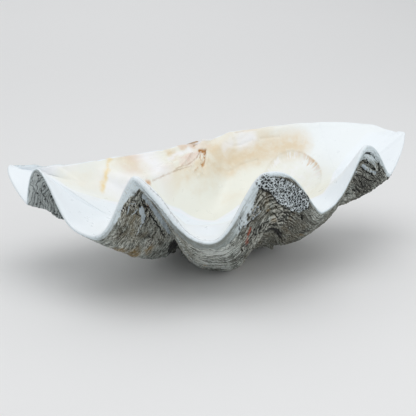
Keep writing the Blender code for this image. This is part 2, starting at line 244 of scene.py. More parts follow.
def edgePoints(share=None):
    # x, y, level, fold and share of the way round; when no shares are given, closer together along the waves
    steps = valve["stepsPerMark"]
    rows = np.array([(*mark, *(0.0, 1.0, 1.0, 0.0)[len(mark) - 3:]) for mark in edgeMarks])
    rows[:, :4] /= 1000.0
    places = rows[:, :3]
    ahead = np.roll(places, -1, axis=0) - places
    reach = np.sqrt(np.linalg.norm(ahead[:, :2], axis=1))[:, None]
    before = np.roll(reach, 1, axis=0)
    slope = ahead / reach
    tangent = (np.roll(slope, 1, axis=0) * reach + slope * before) / (reach + before)
    t = np.linspace(0.0, 1.0, steps, endpoint=False)[:, None]
    line, fold = [], []
    for i in range(len(rows)):
        j = (i + 1) % len(rows)
        start = (1.0 + 2.0 * t) * (1.0 - t) ** 2 * places[i] + t * (1.0 - t) ** 2 * reach[i] * tangent[i]
        part = start + t * t * (3.0 - 2.0 * t) * places[j] - t * t * (1.0 - t) * reach[i] * tangent[j]
        line.append(part)
        lengths = np.linalg.norm(np.diff(np.vstack([part, places[j:j + 1]])[:, :2], axis=0), axis=1)
        u = np.concatenate([[0.0], np.cumsum(lengths)])[:-1] / lengths.sum()
        if rows[j, 3] > 0.0:
            fold.append(rows[j, 3] * foldRise(u, rows[j, 4], rows[j, 6]))
        elif rows[i, 3] > 0.0:
            fold.append(rows[i, 3] * foldRise(1.0 - u, rows[i, 5], rows[i, 6]))
        else:
            fold.append(np.zeros(steps))
    closed = np.column_stack([np.concatenate(line), np.concatenate(fold)])
    closed = np.vstack([closed, closed[:1]])
    inSpace = np.column_stack([closed[:, :2], closed[:, 2] + closed[:, 3]])
    lengths = np.linalg.norm(np.diff(inSpace, axis=0), axis=1)
    along = np.concatenate([[0.0], np.cumsum(lengths)])
    if share is None:
        least = valve["backDensity"]
        density = least + (1.0 - least) * ramp(-closed[:-1, 1], valve["frontStart"])
        crowded = np.concatenate([[0.0], np.cumsum(lengths * density)])
        wanted = np.linspace(0.0, crowded[-1], valve["columns"], endpoint=False)
        share = np.interp(wanted, crowded, along / along[-1])
    edge = np.column_stack([np.interp(share, along / along[-1], closed[:, k]) for k in range(4)] + [share])
    tip = np.abs(share - along[steps * valve["tipMark"]] / along[-1])
    tip = np.clip(1.0 - tip / valve["tipHalf"], 0.0, 1.0)
    edge[:, 0] += valve["tipReach"] * tip
    edge[:, 2] += valve["tipRise"] * tip
    atBack = ramp(edge[:, 1], (-0.12, 0.03)) * (share > 0.5)
    for x, rise, half in np.array(backChips) / 1000.0:
        edge[:, 2] += atBack * rise * bell(edge[:, 0], x, half)
    return edge


def hingeLine(x):
    bend = valve["hingeBend"]
    return 0.5 * valve["hingeSweep"] * (bend + x - np.sqrt(x * x + bend**2))


def skinPoints(edge, s):
    # the outer skin: for each growth from 1 at the edge to 0 at the beak, the edge as it then was
    lifted = 0.0
    for share, growth, along, across, rise in valve["swells"]:
        u = (edge[None, :, 4] - share) * sheet["aroundLength"] / along
        lifted = lifted + rise * smooth(1.0 - np.hypot(u, (s - growth) * sheet["growthLength"] / across))
    beak = valve["beak"]
    x, y, level, fold = (edge[None, :, k] for k in range(4))
    hump = 6.75 * s * s * (1.0 - s)
    onRib = np.clip(1.0 - fold / valve["ribTop"], 0.0, 1.0) ** 1.5 * ramp(-y, valve["bulgeStart"])
    lean = valve["ribLean"] * (1.0 - valve["leanLost"] * ramp(x, valve["leanLostStart"]))
    lean = lean * ramp(-y, valve["leanStart"])
    ahead = s * (y - beak[1] - hingeLine(x))
    fade = valve["foldFade"] + valve["endFoldFade"] * ramp(np.abs(x), valve["endStart"])
    narrow = (np.maximum(fold, 1e-6) / valve["foldHeight"]) ** (valve["grooveNarrowing"] * (1.0 - s))
    groove = fold * narrow * s**fade * ramp(s, valve["grooveStart"])
    up = s * (level - beak[2]) + groove - valve["ribBulge"] * onRib * hump
    turn = valve["spiral"] * np.log((1.0 + valve["spiralSoftness"]) / (s + valve["spiralSoftness"]))
    return np.stack([
        beak[0] + s * (x - beak[0]) + lean * hump,
        beak[1] + hingeLine(s * x) + ahead * np.cos(turn) - up * np.sin(turn),
        beak[2] + ahead * np.sin(turn) + up * np.cos(turn) + lifted,
    ], axis=-1)


def lipWidths(edge):
    return tableAt(edge[:, 4], valve["lipWidths"]) / 1000.0


def normalsOf(points):
    # unit normals of rings that close on themselves
    across = np.roll(points, -1, axis=1) - np.roll(points, 1, axis=1)
    return unit(np.cross(across, np.gradient(points, axis=0)))


def normalsOfGrid(points, side):
    # unit normals of a grid, turned toward one side
    normal = unit(np.cross(np.gradient(points, axis=1), np.gradient(points, axis=0)))
    return normal if (normal @ np.array(side)).mean() > 0.0 else -normal


# Dense sheets of weathered skin over the shell's front: their borders sink into it, and it sinks under them
sheet = {
    "spans": {
        "skinFirstCrest": (0.040, 0.168), "skinSecondCrest": (0.160, 0.297),
        "skinThirdCrest": (0.289, 0.460), "skinFourthCrest": (0.452, 0.612),
    },
    "lowGrowth": 0.700, "spacing": 0.00115, "netSpacing": 0.00095, "border": 0.008, "borderSink": 0.0022,
    "rimFade": 0.005, "underSink": 0.0040, "underFade": 0.012, "thickness": 0.0030, "backStep": 8,
    "aroundLength": 2.4, "growthLength": 0.66,
}


def underSheets(share, s):
    # 1 where the shell lies under a sheet, 0 where it shows
    spans = np.array([*sheet["spans"].values()])
    fade = sheet["underFade"] / sheet["aroundLength"]
    along = smooth((share - spans.min()) / fade - 0.5) * smooth((spans.max() - share) / fade - 0.5)
    fade = sheet["underFade"] / sheet["growthLength"]
    return along * smooth((s - sheet["lowGrowth"]) / fade - 0.5) * smooth((1.0 - s) / fade)


# Ledges left by stops in growth. Each has an undercut edge that faces the lip and slopes off behind it.
ledge = {
    "usualHeight": 0.0016, "strongHeight": 0.0044, "overhang": 0.45, "crevice": 0.35,
    "backDrop": 0.0090, "wander": 0.011, "wanderScale": 16.0, "patchScale": 17.0, "smoothBand": (0.0, 0.022),
}


def ringPlan():
    # for every ring its growth, its ledge, its height on the ledge, and its slip toward the lip
    shape = ((0.0, -ledge["crevice"], 0.0), (0.08, 1.0, 1.0), (0.60, 0.35, 0.0))
    near = np.linspace(1.0, valve["nearGrowth"], valve["nearLedges"] + 1)
    far = np.linspace(valve["nearGrowth"], valve["farGrowth"], valve["farLedges"] + 1)
    levels = [*near, *far[1:]]
    rows = [(top - f * (top - low), number, height, slip)
            for number, (top, low) in enumerate(zip(levels, levels[1:])) for f, height, slip in shape]
    last = np.linspace(valve["farGrowth"], valve["smallestGrowth"], valve["lastRings"])
    return np.array(rows + [(s, len(levels), 0.0, 0.0) for s in last])


def outerSkin(edge):
    plan = ringPlan()
    s = np.repeat(plan[:, :1], len(edge), axis=1)
    plain = skinPoints(edge, s)
    fade = smooth((1.0 - s) / 0.04) * smooth((s - 0.05) / 0.25)
    s = s + fade * ledge["wander"] * noiseAt(plain, ledge["wanderScale"], 3.0, 3)
    plain = skinPoints(edge, s)
    out = normalsOf(plain)
    if np.mean(out[0, :, 1] * (edge[:, 1] - bowl["centre"][1])) < 0.0:
        out = -out

    number = np.round(plan[:, 1]).astype(int)
    heights = np.zeros_like(s)
    for n in range(number.max() + 1):
        rows = number == n
        if not rows.any() or not plan[rows, 2].any():
            continue
        first = plain[rows][0]
        patch = noiseAt(first, ledge["patchScale"], 11.0 + 5.3 * n, 2)
        fine = noiseAt(first, 90.0, 4.0 + 3.1 * n, 2)
        size = ledge["usualHeight"] * (0.8 + 1.5 * patch + 0.6 * fine)
        size = size + ledge["strongHeight"] * smooth((patch - 0.30) / 0.4)
        heights[rows] = np.maximum(size, 0.0001)[None, :] * plan[rows, 2:3]
    front = ramp(-edge[None, :, 1], valve["backStart"])
    band = smooth((1.0 - s - ledge["smoothBand"][0]) / (ledge["smoothBand"][1] + 0.10 * (1.0 - front)))
    quiet = 0.20 + 0.80 * front
    under = underSheets(edge[None, :, 4], s)
    heights = heights * band * quiet * smooth((s - 0.03) / 0.2) * (1.0 - under)
    towardLip = plain - np.roll(plain, -1, axis=0)
    towardLip[-1] = 0.0
    slip = np.maximum(heights, 0.0) * plan[:, 3:4] * ledge["overhang"]
    sink = under * np.minimum(sheet["underSink"], 0.45 * lipWidths(edge))
    atEnds = (1.0 - front) * ramp(np.abs(edge[None, :, 0]), (0.20, 0.04))
    skin = plain + out * (heights - sink)[:, :, None] + unit(towardLip) * slip[:, :, None]
    skin[:, :, 2] -= ledge["backDrop"] * atEnds * smooth((1.0 - s) / 0.03) * smooth((s - 0.50) / 0.30)
    return s, plain, out, skin


# The bowl inside, with the hinge plate, its ridge and socket, and the scar of the closing muscle
bowl = {
    "centre": (-0.030, -0.165), "depth": 0.118, "floorRise": (0.22, 0.30), "floorFlat": (-0.060, 0.030),
    "thickestWall": 0.026, "leftBlend": 0.022, "wallBlend": 0.45, "mostLift": 0.012, "rimBlend": 0.20,
    "thinnestWall": 0.006, "softCell": 0.003, "softSteps": 34, "softMiddle": 0.62,
    "spineBend": 0.040, "halfLength": 0.360, "shelfReach": 0.60, "shelfStart": (0.11, 0.26),
    "backSteepness": 2.6, "foldReach": 0.32,
    "plateSlope": 0.50, "plateWidth": 0.056, "plateDrop": 1.7, "plateEnds": (-0.245, 0.080),
    "plateFade": (0.110, 0.110), "plateTaper": 0.85, "plateBlend": 0.006,
    "tooth": (-30, -36, -48, -54, -92, -78), "toothHeight": 0.005, "toothWidth": 0.008,
    "socket": (2, -17, -6, -54), "socketDepth": 0.006, "socketWidth": 0.007,
    "scarCentre": (0.150, -0.105), "scarRadius": (0.056, 0.059), "scarDepth": 0.003, "scarBlend": 0.14,
}


def backEdge(edge):
    left, right = np.argmin(edge[:, 0]), np.argmax(edge[:, 0])
    back = np.vstack([edge[right:], edge[:left + 1]])[::-1]
    back = back[np.argsort(back[:, 0])]
    return back[:, 0], back[:, 1], back[:, 2]


def bowlPoints(rim, edge, k):
    beak, centre = valve["beak"], bowl["centre"]
    k = k[:, None]

    def spine(x):
        return centre[1] + bowl["spineBend"] * (x / bowl["halfLength"]) ** 2

    x = centre[0] + k * (rim[None, :, 0] - centre[0])
    y = spine(x) + k * (rim[None, :, 1] - spine(rim[None, :, 0]))

    # where the point lies as seen from the beak, which the folds point at
    front = edge[np.argmin(edge[:, 0]):np.argmax(edge[:, 0]) + 1]
    bearing = np.arctan2(front[:, 1] - beak[1], front[:, 0] - beak[0])
    reach = np.hypot(front[:, 0] - beak[0], front[:, 1] - beak[1])
    here = np.arctan2(y - beak[1], x - beak[0])
    here = np.where(here > 0.5 * math.pi, here - 2.0 * math.pi, here)
    share = np.hypot(x - beak[0], y - beak[1]) / np.interp(here, bearing, reach)
    level = edge[None, :, 2]
    fold = np.interp(here, bearing, front[:, 3], left=0.0, right=0.0)
    fold = fold + np.interp(here, bearing, front[:, 2]) - level
    u = np.clip((share - 1.0 + bowl["foldReach"]) / bowl["foldReach"], 0.0, 1.05)
    fold = fold * u * u * (1.6 - 0.6 * u)

    # the floor rises to both ends; the back wall is steep, the front has a shelf behind the waves
    floor = -bowl["depth"] + bowl["floorRise"][1] * np.maximum(0.0, x - bowl["floorFlat"][1])
    floor = floor + bowl["floorRise"][0] * np.maximum(0.0, bowl["floorFlat"][0] - x)
    frontSide = ramp(-edge[None, :, 1], bowl["shelfStart"])
    profile = frontSide * smooth(k / bowl["shelfReach"]) + (1.0 - frontSide) * k ** bowl["backSteepness"]
    height = floor + (level - floor) * profile + fold

    # hinge plate with its tooth and socket
    backX, backY, backLevel = backEdge(edge)
    inward = np.interp(x, backX, backY) - y
    ends, plateFade = bowl["plateEnds"], bowl["plateFade"]
    width = bowl["plateWidth"] * smooth((x - ends[0]) / plateFade[0])
    width = width * (1.0 - bowl["plateTaper"] * smooth((x - ends[1] + plateFade[1]) / plateFade[1]))
    plate = np.interp(x, backX, backLevel) - bowl["plateSlope"] * inward
    plate = plate - bowl["plateDrop"] * np.maximum(0.0, inward - width)
    blend = bowl["plateBlend"] + (bowl["leftBlend"] - bowl["plateBlend"]) * ramp(-x, (0.16, 0.08))
    onPlate = np.clip(0.5 + 0.5 * (plate - height) / blend, 0.0, 1.0)
    height = height + (plate - height) * onPlate + blend * onPlate * (1.0 - onPlate)

    # meet the rim exactly
    height = height + (rim[None, :, 2] - height[:1]) * smooth((k - 1.0 + bowl["rimBlend"]) / bowl["rimBlend"])
    hinge = onPlate * ramp(x, (ends[0], 0.06)) * (1.0 - ramp(x, (0.06, 0.05)))
    return np.stack([x, y, height], axis=-1), hinge


def bowlDetail(points, k):
    # hinge tooth and socket, and the sunk scar of the muscle
    x, y = points[:, :, 0], points[:, :, 1]
    cx, cy = bowl["scarCentre"]
    scar = np.hypot((x - cx) / bowl["scarRadius"][0], (y - cy) / bowl["scarRadius"][1])
    height = bowl["toothHeight"] * ridgeAlong(x, y, thousandths(bowl["tooth"]), bowl["toothWidth"])
    height = height - bowl["socketDepth"] * ridgeAlong(x, y, thousandths(bowl["socket"]), bowl["socketWidth"])
    height = height - bowl["scarDepth"] * smooth((1.0 - scar) / bowl["scarBlend"])
    points = points.copy()
    points[:, :, 2] += height * smooth((1.0 - k[:, None]) / 0.04)
    return points, scar


def ringQuads(rows, around):
    i, j = np.meshgrid(np.arange(rows - 1), np.arange(around), indexing="ij")
    a = (i * around + j).ravel()
    b = (i * around + (j + 1) % around).ravel()
    return np.column_stack([a, b, b + around, a + around]).tolist()


def keepWall(points, skin, k):
    rows, around = skin.shape[:2]
    tree = BVHTree.FromPolygons(skin.reshape(-1, 3).tolist(), ringQuads(rows, around))
    thin = bowl["thinnestWall"]
    wall = thin + (bowl["thickestWall"] - thin) * smooth((1.0 - k) / bowl["wallBlend"])
    rise = smooth((1.0 - k) / 0.14)
    raised = points.copy()
    for _ in range(3):
        lift = np.zeros(points.shape[:2])
        for i in range(1, len(points)):
            for j in range(around):
                place, normal, _, distance = tree.find_nearest(Vector(raised[i, j]))
                inside = (Vector(raised[i, j]) - place).dot(normal) > 0.0
                short = wall[i] - (distance if inside else -distance)
                if short > 0.0:
                    lift[i, j] = min(short, bowl["mostLift"]) * abs(normal.z) * rise[i]
        for _ in range(4):
            lift[1:-1] = 0.5 * lift[1:-1] + 0.125 * besideSum(lift)
        raised[:, :, 2] += lift
    # soften the creases that are left, but not the rim
    z = raised[:, :, 2]
    hold = smooth((1.0 - k[1:-1, None]) / 0.12)
    for _ in range(24):
        z[1:-1] += 0.5 * hold * (0.25 * besideSum(z) - z[1:-1])
    return raised


def softenFloor(points, k):
    # spread the heights over a grid seen from above: evens the floor and fills the crease along its left
    cell = bowl["softCell"]
    x, y, z = points[:, :, 0], points[:, :, 1], points[:, :, 2]
    across = (x - x.min()) / cell + 2.0
    along = (y - y.min()) / cell + 2.0
    size = (int(across.max()) + 4, int(along.max()) + 4)
    total, count = np.zeros(size), np.zeros(size)
    i, j = across.astype(int), along.astype(int)
    u, v = across - i, along - j
    corners = ((0, 0, (1 - u) * (1 - v)), (1, 0, u * (1 - v)), (0, 1, (1 - u) * v), (1, 1, u * v))
    for a, b, weight in corners:
        np.add.at(total, (i + a, j + b), weight * z)
        np.add.at(count, (i + a, j + b), weight)
    total, count = total / np.maximum(count, 1.0), np.minimum(count, 1.0)
    for _ in range(bowl["softSteps"]):
        evenOut(total)
        evenOut(count)
    even = total / np.maximum(count, 1e-9)
    wanted = sum(weight * even[i + a, j + b] for a, b, weight in corners)
    middle = smooth((bowl["softMiddle"] - k[:, None]) / 0.20)
    left = ramp(-x, (0.10, 0.08)) * smooth((1.0 - k[:, None]) / 0.20)
    softened = points.copy()
    softened[:, :, 2] = z + np.maximum(middle * (wanted - z), left * np.maximum(wanted - z, 0.0))
    return softened


def closedMesh(name, rings, fields):
    # a mesh over the rings, closed by a point at each end, with one number per point for each field
    rows, around = rings.shape[:2]
    ends = [rings[0].mean(axis=0), rings[-1].mean(axis=0)]
    vertices = np.vstack([rings.reshape(-1, 3), ends])
    faces = ringQuads(rows, around)
    for j in range(around):
        after = (j + 1) % around
        faces.append((rows * around, after, j))
        faces.append((rows * around + 1, (rows - 1) * around + j, (rows - 1) * around + after))
    ended = {field: np.concatenate([values.ravel(), [values[0].mean(), values[-1].mean()]])
             for field, values in fields.items()}
    return addMesh(name, vertices, faces, ended)


def makeValve():
    edge = edgePoints()
    growth, plain, out, skin = outerSkin(edge)
    crest = plain[0]
    inward = unit(plain[2] - plain[0])
    width = lipWidths(edge)[:, None]
    rim = crest - width * out[0]
    lip = []
    for turn in np.linspace(0.0, math.pi, valve["lipRings"])[1:-1]:
        middle = crest - 0.5 * width * out[0] * (1.0 - math.cos(turn))
        lip.append(middle - 0.5 * width * inward * math.sin(turn))
    lip = np.array(lip)
    k = 1.0 - np.linspace(0.0, 1.0, valve["bowlRings"], endpoint=False) ** 1.15
    inside, hinge = bowlPoints(rim, edge, k)
    inside = softenFloor(keepWall(inside, plain, k), k)
    inside, scar = bowlDetail(inside, k)
    print("bowl made, deepest at", inside[:, :, 2].min().round(4))

    rings = np.concatenate([skin[::-1], lip, inside])
    rings = rings + np.array(valve["umboPlace"])
    rings[:, :, 2] = np.maximum(rings[:, :, 2], 0.0)
    count = (len(skin), len(lip), len(inside))

    def field(onSkin, onLip, inBowl):
        parts = [np.broadcast_to(np.asarray(part, float), (rows, len(edge)))
                 for part, rows in zip((onSkin, onLip, inBowl), count)]
        return np.concatenate(parts)

    over = np.linspace(1.0, 0.0, len(lip) + 2)[1:-1][:, None]
    whiteTip = ramp(edge[None, :, 4], (0.972, 0.010)) * smooth((growth - 0.900) / 0.020)
    fields = {
        "growth": field(growth[::-1], 1.0, 1.0),
        "around": field(edge[:, 4], edge[:, 4], edge[:, 4]),
        "outside": field((1.0 - whiteTip)[::-1], over, 0.0),
        "hinge": field(0.0, 0.0, hinge),
        "scar": field(9.0, 9.0, scar),
        "mantle": field(-99.0, -99.0, mantleSide(inside)),
        "creamy": field(0.0, 0.0, creamShare(inside)),
    }
    under = underSheets(edge[None, :, 4], growth)
    behind = 1.0 - ramp(-edge[None, :, 1], valve["backStart"])
    hold = (1.0 - under) * smooth((1.0 - growth) / (0.02 + 0.20 * behind)) * smooth((growth - 0.03) / 0.2)
    fields["hold"] = field(hold[::-1], 0.0, 0.0)
    fields["wall"] = field(3.0, 0.0, 0.0)
    for kind, values in skinFields(edge[None, :, 4], growth, plain).items():
        fields[kind] = field(values[::-1], values[0], 0.0)
    for kind in bowlTints:
        tints = tintField(kind, inside)
        fields[kind] = field(0.0, tints[0], tints)
    return closedMesh("clamShell", rings, fields)


# Marks outside: share of the way round and growth in thousandths, half length along the edge and across it in
# mm, strength. Holes and lumps have their depth or height in mm as strength.
skinMarks = {
    "hole": (
        (362, 878, 6.5, 4, 5), (354, 902, 3, 2.6, 4), (368, 870, 3.5, 2, 3), (378, 837, 3, 2.6, 3.5),
        (371, 893, 7, 1.6, 2.5), (427, 919, 8, 6, 5.5), (437, 972, 3, 2.6, 2.5), (338, 862, 3.5, 6, 3),
        (338, 993, 2.2, 2, 2.4), (336, 985, 2, 2.4, 2.6), (339, 984, 1.8, 2, 2.4), (334, 977, 2, 2.6, 2.4),
        (337, 974, 1.6, 1.8, 2), (333, 988, 1.7, 1.6, 2), (346, 952, 16, 1.4, 2.6), (203, 993, 2, 3, 2),
        (207, 984, 2, 2.4, 2), (214, 967, 2.6, 3.4, 2.6), (218, 951, 3, 4, 3), (220, 927, 4.5, 3, 3),
        (222, 938, 3, 2.4, 2.6), (220, 905, 4, 4, 3), (216, 915, 3, 3, 2.4), (64, 919, 4, 5, 2.6),
        (72, 976, 2.4, 2.4, 2), (333, 905, 3, 7, 3),
    ),
    "lump": (
        (540, 950, 14, 5, 2.6), (556, 960, 8, 4, 2.4), (217, 938, 8, 7, 1.5), (213, 926, 8, 6, 1.5),
        (346, 962, 18, 3, 2), (361, 940, 12, 5, 1.6), (372, 925, 10, 9, 2), (203, 922, 20, 3.5, 1.8),
        (375, 860, 14, 12, 2.5), (385, 830, 22, 12, 2), (180, 870, 26, 14, 2.4),
    ),
    "ochre": (
        (378, 850, 20, 18, 1.3), (372, 905, 9, 14, 1), (178, 872, 36, 18, 1.1), (196, 840, 32, 18, 1),
        (173, 925, 28, 16, 1.1), (184, 895, 24, 14, 1.1), (402, 870, 12, 8, 0.7), (445, 860, 22, 10, 0.7),
        (288, 850, 16, 8, 0.8), (304, 862, 14, 6, 0.7), (406, 905, 14, 9, 0.7), (400, 820, 40, 20, 0.5),
        (282, 806, 22, 20, 0.6), (335, 800, 25, 25, 0.4), (262, 830, 18, 30, 0.35),
    ),
    "brown": ((370, 945, 8, 22, 0.7), (205, 895, 20, 12, 0.6),),
    "shade": (
        (219, 695, 30, 42, 1.3), (370, 750, 50, 22, 1.3), (182, 885, 34, 18, 0.45), (212, 800, 16, 20, 0.5),
        (66, 925, 8, 14, 0.8), (202, 990, 7, 8, 0.6), (372, 955, 7, 14, 0.6), (395, 760, 60, 14, 1.2),
        (425, 925, 14, 9, 0.7), (556, 900, 60, 32, 0.85), (575, 860, 50, 40, 0.6), (367, 800, 30, 14, 0.7),
        (210, 965, 10, 16, 0.5), (208, 880, 16, 14, 0.5),
    ),
    "worm": (
        (213, 970, 17, 13, 1), (205, 985, 8, 8, 1), (221, 915, 8, 16, 0.8), (352, 955, 10, 14, 0.7),
        (200, 860, 26, 14, 0.7), (369, 960, 6, 16, 0.6), (335, 905, 10, 20, 0.6), (385, 880, 16, 8, 0.5),
    ),
    "rust": ((345.5, 930, 11, 7, 1.2), (341, 912, 9, 12, 0.7), (223, 929, 2.2, 3, 0.9),),
    "blue": (
        (217, 940, 9, 8, 1.2), (214, 925, 10, 7, 1.2), (336, 984, 9, 11, 1), (538, 949, 11, 5, 1.3),
        (545, 952, 7, 3.5, 1.2), (530, 925, 8, 6, 0.8), (357, 955, 16, 2.6, 0.9), (203, 924, 18, 2.4, 0.6),
        (549, 975, 9, 3, 0.5),
    ),
}

# Long marks outside: half width in mm, strength as above, then share and growth by turns along their paths
skinPaths = {
    "shade": (
        (7, 0.9, 203, 905, 208, 865), (4, 1, 221, 988, 225.5, 968), (3, 0.8, 208, 985, 199, 968, 190, 953),
        (4, 0.7, 226, 955, 226, 900),
    ),
    "brown": (
        (5, 0.9, 213.3, 979, 205, 955, 197, 932), (4, 0.7, 216.5, 965, 203, 915),
        (4, 0.8, 229, 900, 228, 800), (6, 0.8, 370, 970, 372, 920), (4, 0.6, 339, 935, 331, 905),
    ),
    "hole": (
        (1.7, 14, 522, 958, 525, 974, 531, 984, 540, 986, 549, 990, 557, 990, 563, 982),
        (2.2, 12, 527, 950, 531, 962, 540, 964, 548, 962, 555, 969),
        (1.2, 6, 533, 944, 540, 941, 549, 948, 560, 957), (1, 6, 534, 915, 543, 927, 553, 925, 562, 945),
        (1, 5, 538, 895, 547, 908, 556, 902, 565, 925), (1, 5, 545, 870, 552, 885, 560, 880),
        (1.2, 6, 566, 985, 566, 930), (1.7, 4, 339, 966, 347, 952, 356, 934, 364, 926),
        (1.7, 3.6, 367, 984, 370, 968, 376, 942, 380, 915, 392, 895),
        (1.3, 2.8, 371, 955, 374, 925, 381, 893, 395, 875, 410, 885),
        (1.5, 3, 362, 905, 370, 893, 377, 880, 381, 862, 376, 845),
        (1.4, 2.6, 352, 888, 360, 865, 372, 845, 388, 835, 402, 845),
        (1.8, 3.4, 358, 835, 372, 820, 390, 812, 410, 815),
        (1.8, 3, 400, 893, 412, 905, 424, 922, 436, 938), (1.2, 2.6, 415, 900, 418, 875, 424, 850),
        (1.2, 2, 430, 940, 442, 925, 455, 905), (1.3, 2.4, 262, 945, 270, 952, 280, 950),
        (1.2, 2, 268, 930, 283, 925), (1.8, 2.8, 280, 850, 290, 842, 302, 846),
        (1.3, 2.2, 292, 905, 300, 902), (1.2, 2.6, 205, 972, 212, 950, 214, 925, 213, 900),
        (1.3, 6, 222.2, 955, 220, 900, 220.8, 850, 219, 790), (1, 2, 209, 960, 205, 925, 203, 880),
        (1.4, 2.8, 221, 948, 223.5, 920), (1, 1.8, 196, 968, 194, 935, 190, 900),
        (1.5, 3, 214, 915, 222, 908), (1, 1.8, 74, 990, 68, 965, 60, 945), (1.1, 2, 79, 975, 70, 940),
    ),
    "lump": (
        (2.2, 2.4, 340, 972, 347, 960, 355, 945, 362, 938), (1.6, 1.6, 205, 978, 213, 982, 217, 968),
        (1.5, 1.5, 208, 962, 215, 955), (2.4, 2.4, 531, 974, 541, 978, 552, 975, 559, 966),
        (3, 1.8, 366, 930, 375, 900), (4, 2, 366, 885, 374, 868, 386, 856), (2.4, 1.6, 270, 940, 284, 937),
        (3, 2.4, 262, 925, 268, 890, 275, 850, 283, 815),
    ),
    "blue": (
        (1.6, 1, 340, 972, 347, 960, 355, 945, 362, 938), (1.3, 0.9, 205, 978, 213, 982, 217, 968),
        (1.2, 0.9, 208, 962, 215, 955), (1.5, 0.8, 262, 925, 268, 890, 275, 850, 283, 815),
        (1.4, 0.8, 203, 926, 210, 922), (5.5, 1.3, 225.8, 955, 225.6, 900, 225, 790),
        (4, 1, 229, 955, 228.8, 900, 228, 820), (2, 1.2, 529, 972, 535, 977, 545, 979),
        (1.4, 0.8, 547, 972, 556, 980), (2, 1.2, 550, 954, 559, 966),
    ),
}

# The pitted net on the third crest, as its corners in share and growth
netCorners = (
    362, 1010, 385, 992, 402, 989, 420, 993, 438, 1004, 438, 972, 428, 945, 421, 925, 401, 898, 382, 908,
    374, 955, 366, 985,
)

# width in mm of the pale band below the lip at shares of the way round
bandWidths = (
    0, 4, 55, 2, 90, 1.5, 110, 2, 150, 6, 190, 4, 205, 4, 226, 13, 235, 17, 250, 20, 265, 19, 280, 14,
    300, 22, 335, 18, 352, 22, 362, 10, 370, 3, 400, 2, 440, 3, 480, 3, 510, 6, 525, 15, 550, 11, 565, 6,
    600, 4, 640, 10, 965, 12, 985, 22, 992, 40, 1000, 40,
)

# how light that band is, 0 grey to 1 white
bandLights = (
    0, 0.8, 50, 0.7, 80, 0.5, 120, 0.6, 160, 0.75, 210, 0.95, 226, 1.2, 238, 1, 260, 0.55, 280, 0.12,
    310, 0.08, 325, 0.25, 335, 0.75, 352, 0.95, 366, 0.7, 400, 0.6, 450, 0.3, 490, 0.4, 515, 0.75,
    570, 0.75, 600, 0.7, 660, 1.1, 970, 1.1, 985, 1.3, 1000, 1.3,
)

# strength of the ledges at shares of the way round
ledgeStrength = (
    0, 0.25, 100, 0.25, 130, 0.4, 160, 0.5, 190, 0.55, 240, 0.6, 265, 0.5, 280, 0.34, 315, 0.34, 330, 0.5,
    345, 0.8, 360, 1.2, 390, 1.2, 420, 0.6, 450, 0.34, 500, 0.4, 530, 1, 560, 1, 600, 0.5, 1000, 0.3,
)

# How marks get their uneven borders: what the noise moves them by in m, and how soft they end
marking = {
    "wobble": 0.0016, "paintWobble": 0.009, "holeWobble": 0.0022, "netWobble": 0.003,
    "paintSoftness": 0.8, "reliefSoftness": 0.45, "pathReach": 0.05, "netSoftness": 0.004,
}


def onSkin(places):
    # shares and growths in thousandths as metres along the skin
    return thousandths(places) * (sheet["aroundLength"], sheet["growthLength"])


def markField(kind, share, growth, points):
    painted = kind in ("shade", "brown", "ochre", "worm")
    softness = marking["paintSoftness" if painted else "reliefSoftness"]
    wobble = marking["wobble"] * noiseAt(points, 130.0, 21.0, 2)
    if painted:
        wobble = wobble + marking["paintWobble"] * noiseAt(points, 40.0, 27.0, 3)
    value = np.zeros(share.shape)
    for at, rise, along, across, strength in skinMarks[kind]:
        aside = (share - at / 1000.0) * sheet["aroundLength"]
        if not (np.abs(aside) < 0.0012 * along + (0.012 if painted else 0.004)).any():
            continue
        u = (aside + wobble) / (along / 1000.0)
        v = ((growth - rise / 1000.0) * sheet["growthLength"] + 0.7 * wobble) / (across / 1000.0)
        value = np.maximum(value, strength * smooth((1.0 - np.hypot(u, v)) / softness))
    broken = 1.0
    if kind == "hole":
        wobble = wobble + marking["holeWobble"] * noiseAt(points, 55.0, 71.0, 2)
        broken = 0.40 + 0.60 * smooth(0.7 + 2.0 * noiseAt(points, 85.0, 61.0, 2))
    u = share * sheet["aroundLength"] + wobble
    v = growth * sheet["growthLength"] - wobble
    for half, strength, *path in skinPaths.get(kind, ()):
        near = np.abs(share - np.mean(path[::2]) / 1000.0) < marking["pathReach"]
        if near.any():
            ridge = ridgeAlong(u, v, onSkin(path), half * 0.0013)
            value = np.maximum(value, strength * ridge * near * broken)
    return value


def insidePolygon(x, y, corners, soft):
    # 1 well inside the corners, 0 outside, with a soft border
    corners = np.vstack([corners, corners[:1]])
    distance = lineDistance(x, y, corners)
    odd = np.zeros(x.shape, bool)
    for (ax, ay), (bx, by) in zip(corners, corners[1:]):
        crosses = (ay > y) != (by > y)
        height = by - ay if by != ay else 1e-12
        odd ^= crosses & (x < (bx - ax) * (y - ay) / height + ax)
    return smooth(0.5 + np.where(odd, distance, -distance) / soft)


def skinFields(share, growth, points):
    # every mark and tint of the outside at the given places
    share, growth = np.broadcast_arrays(share, growth)
    values = {kind: markField(kind, share, growth, points) for kind in skinMarks}
    wobble = marking["netWobble"] * noiseAt(points, 70.0, 33.0, 2)
    u = share * sheet["aroundLength"] + wobble
    v = growth * sheet["growthLength"] - 0.7 * wobble
    values["net"] = insidePolygon(u, v, onSkin(netCorners), marking["netSoftness"])
    values["rough"] = tableAt(share, ledgeStrength)
    values["bandLight"] = tableAt(share, bandLights)
    width = tableAt(share, bandWidths) / 1000.0 * (1.0 + 0.7 * noiseAt(points, 22.0, 44.0, 3))
    below = (1.0 - growth) * sheet["growthLength"]
    values["band"] = np.maximum(1.0 - below / np.maximum(width, 0.001), -2.0)
    return values


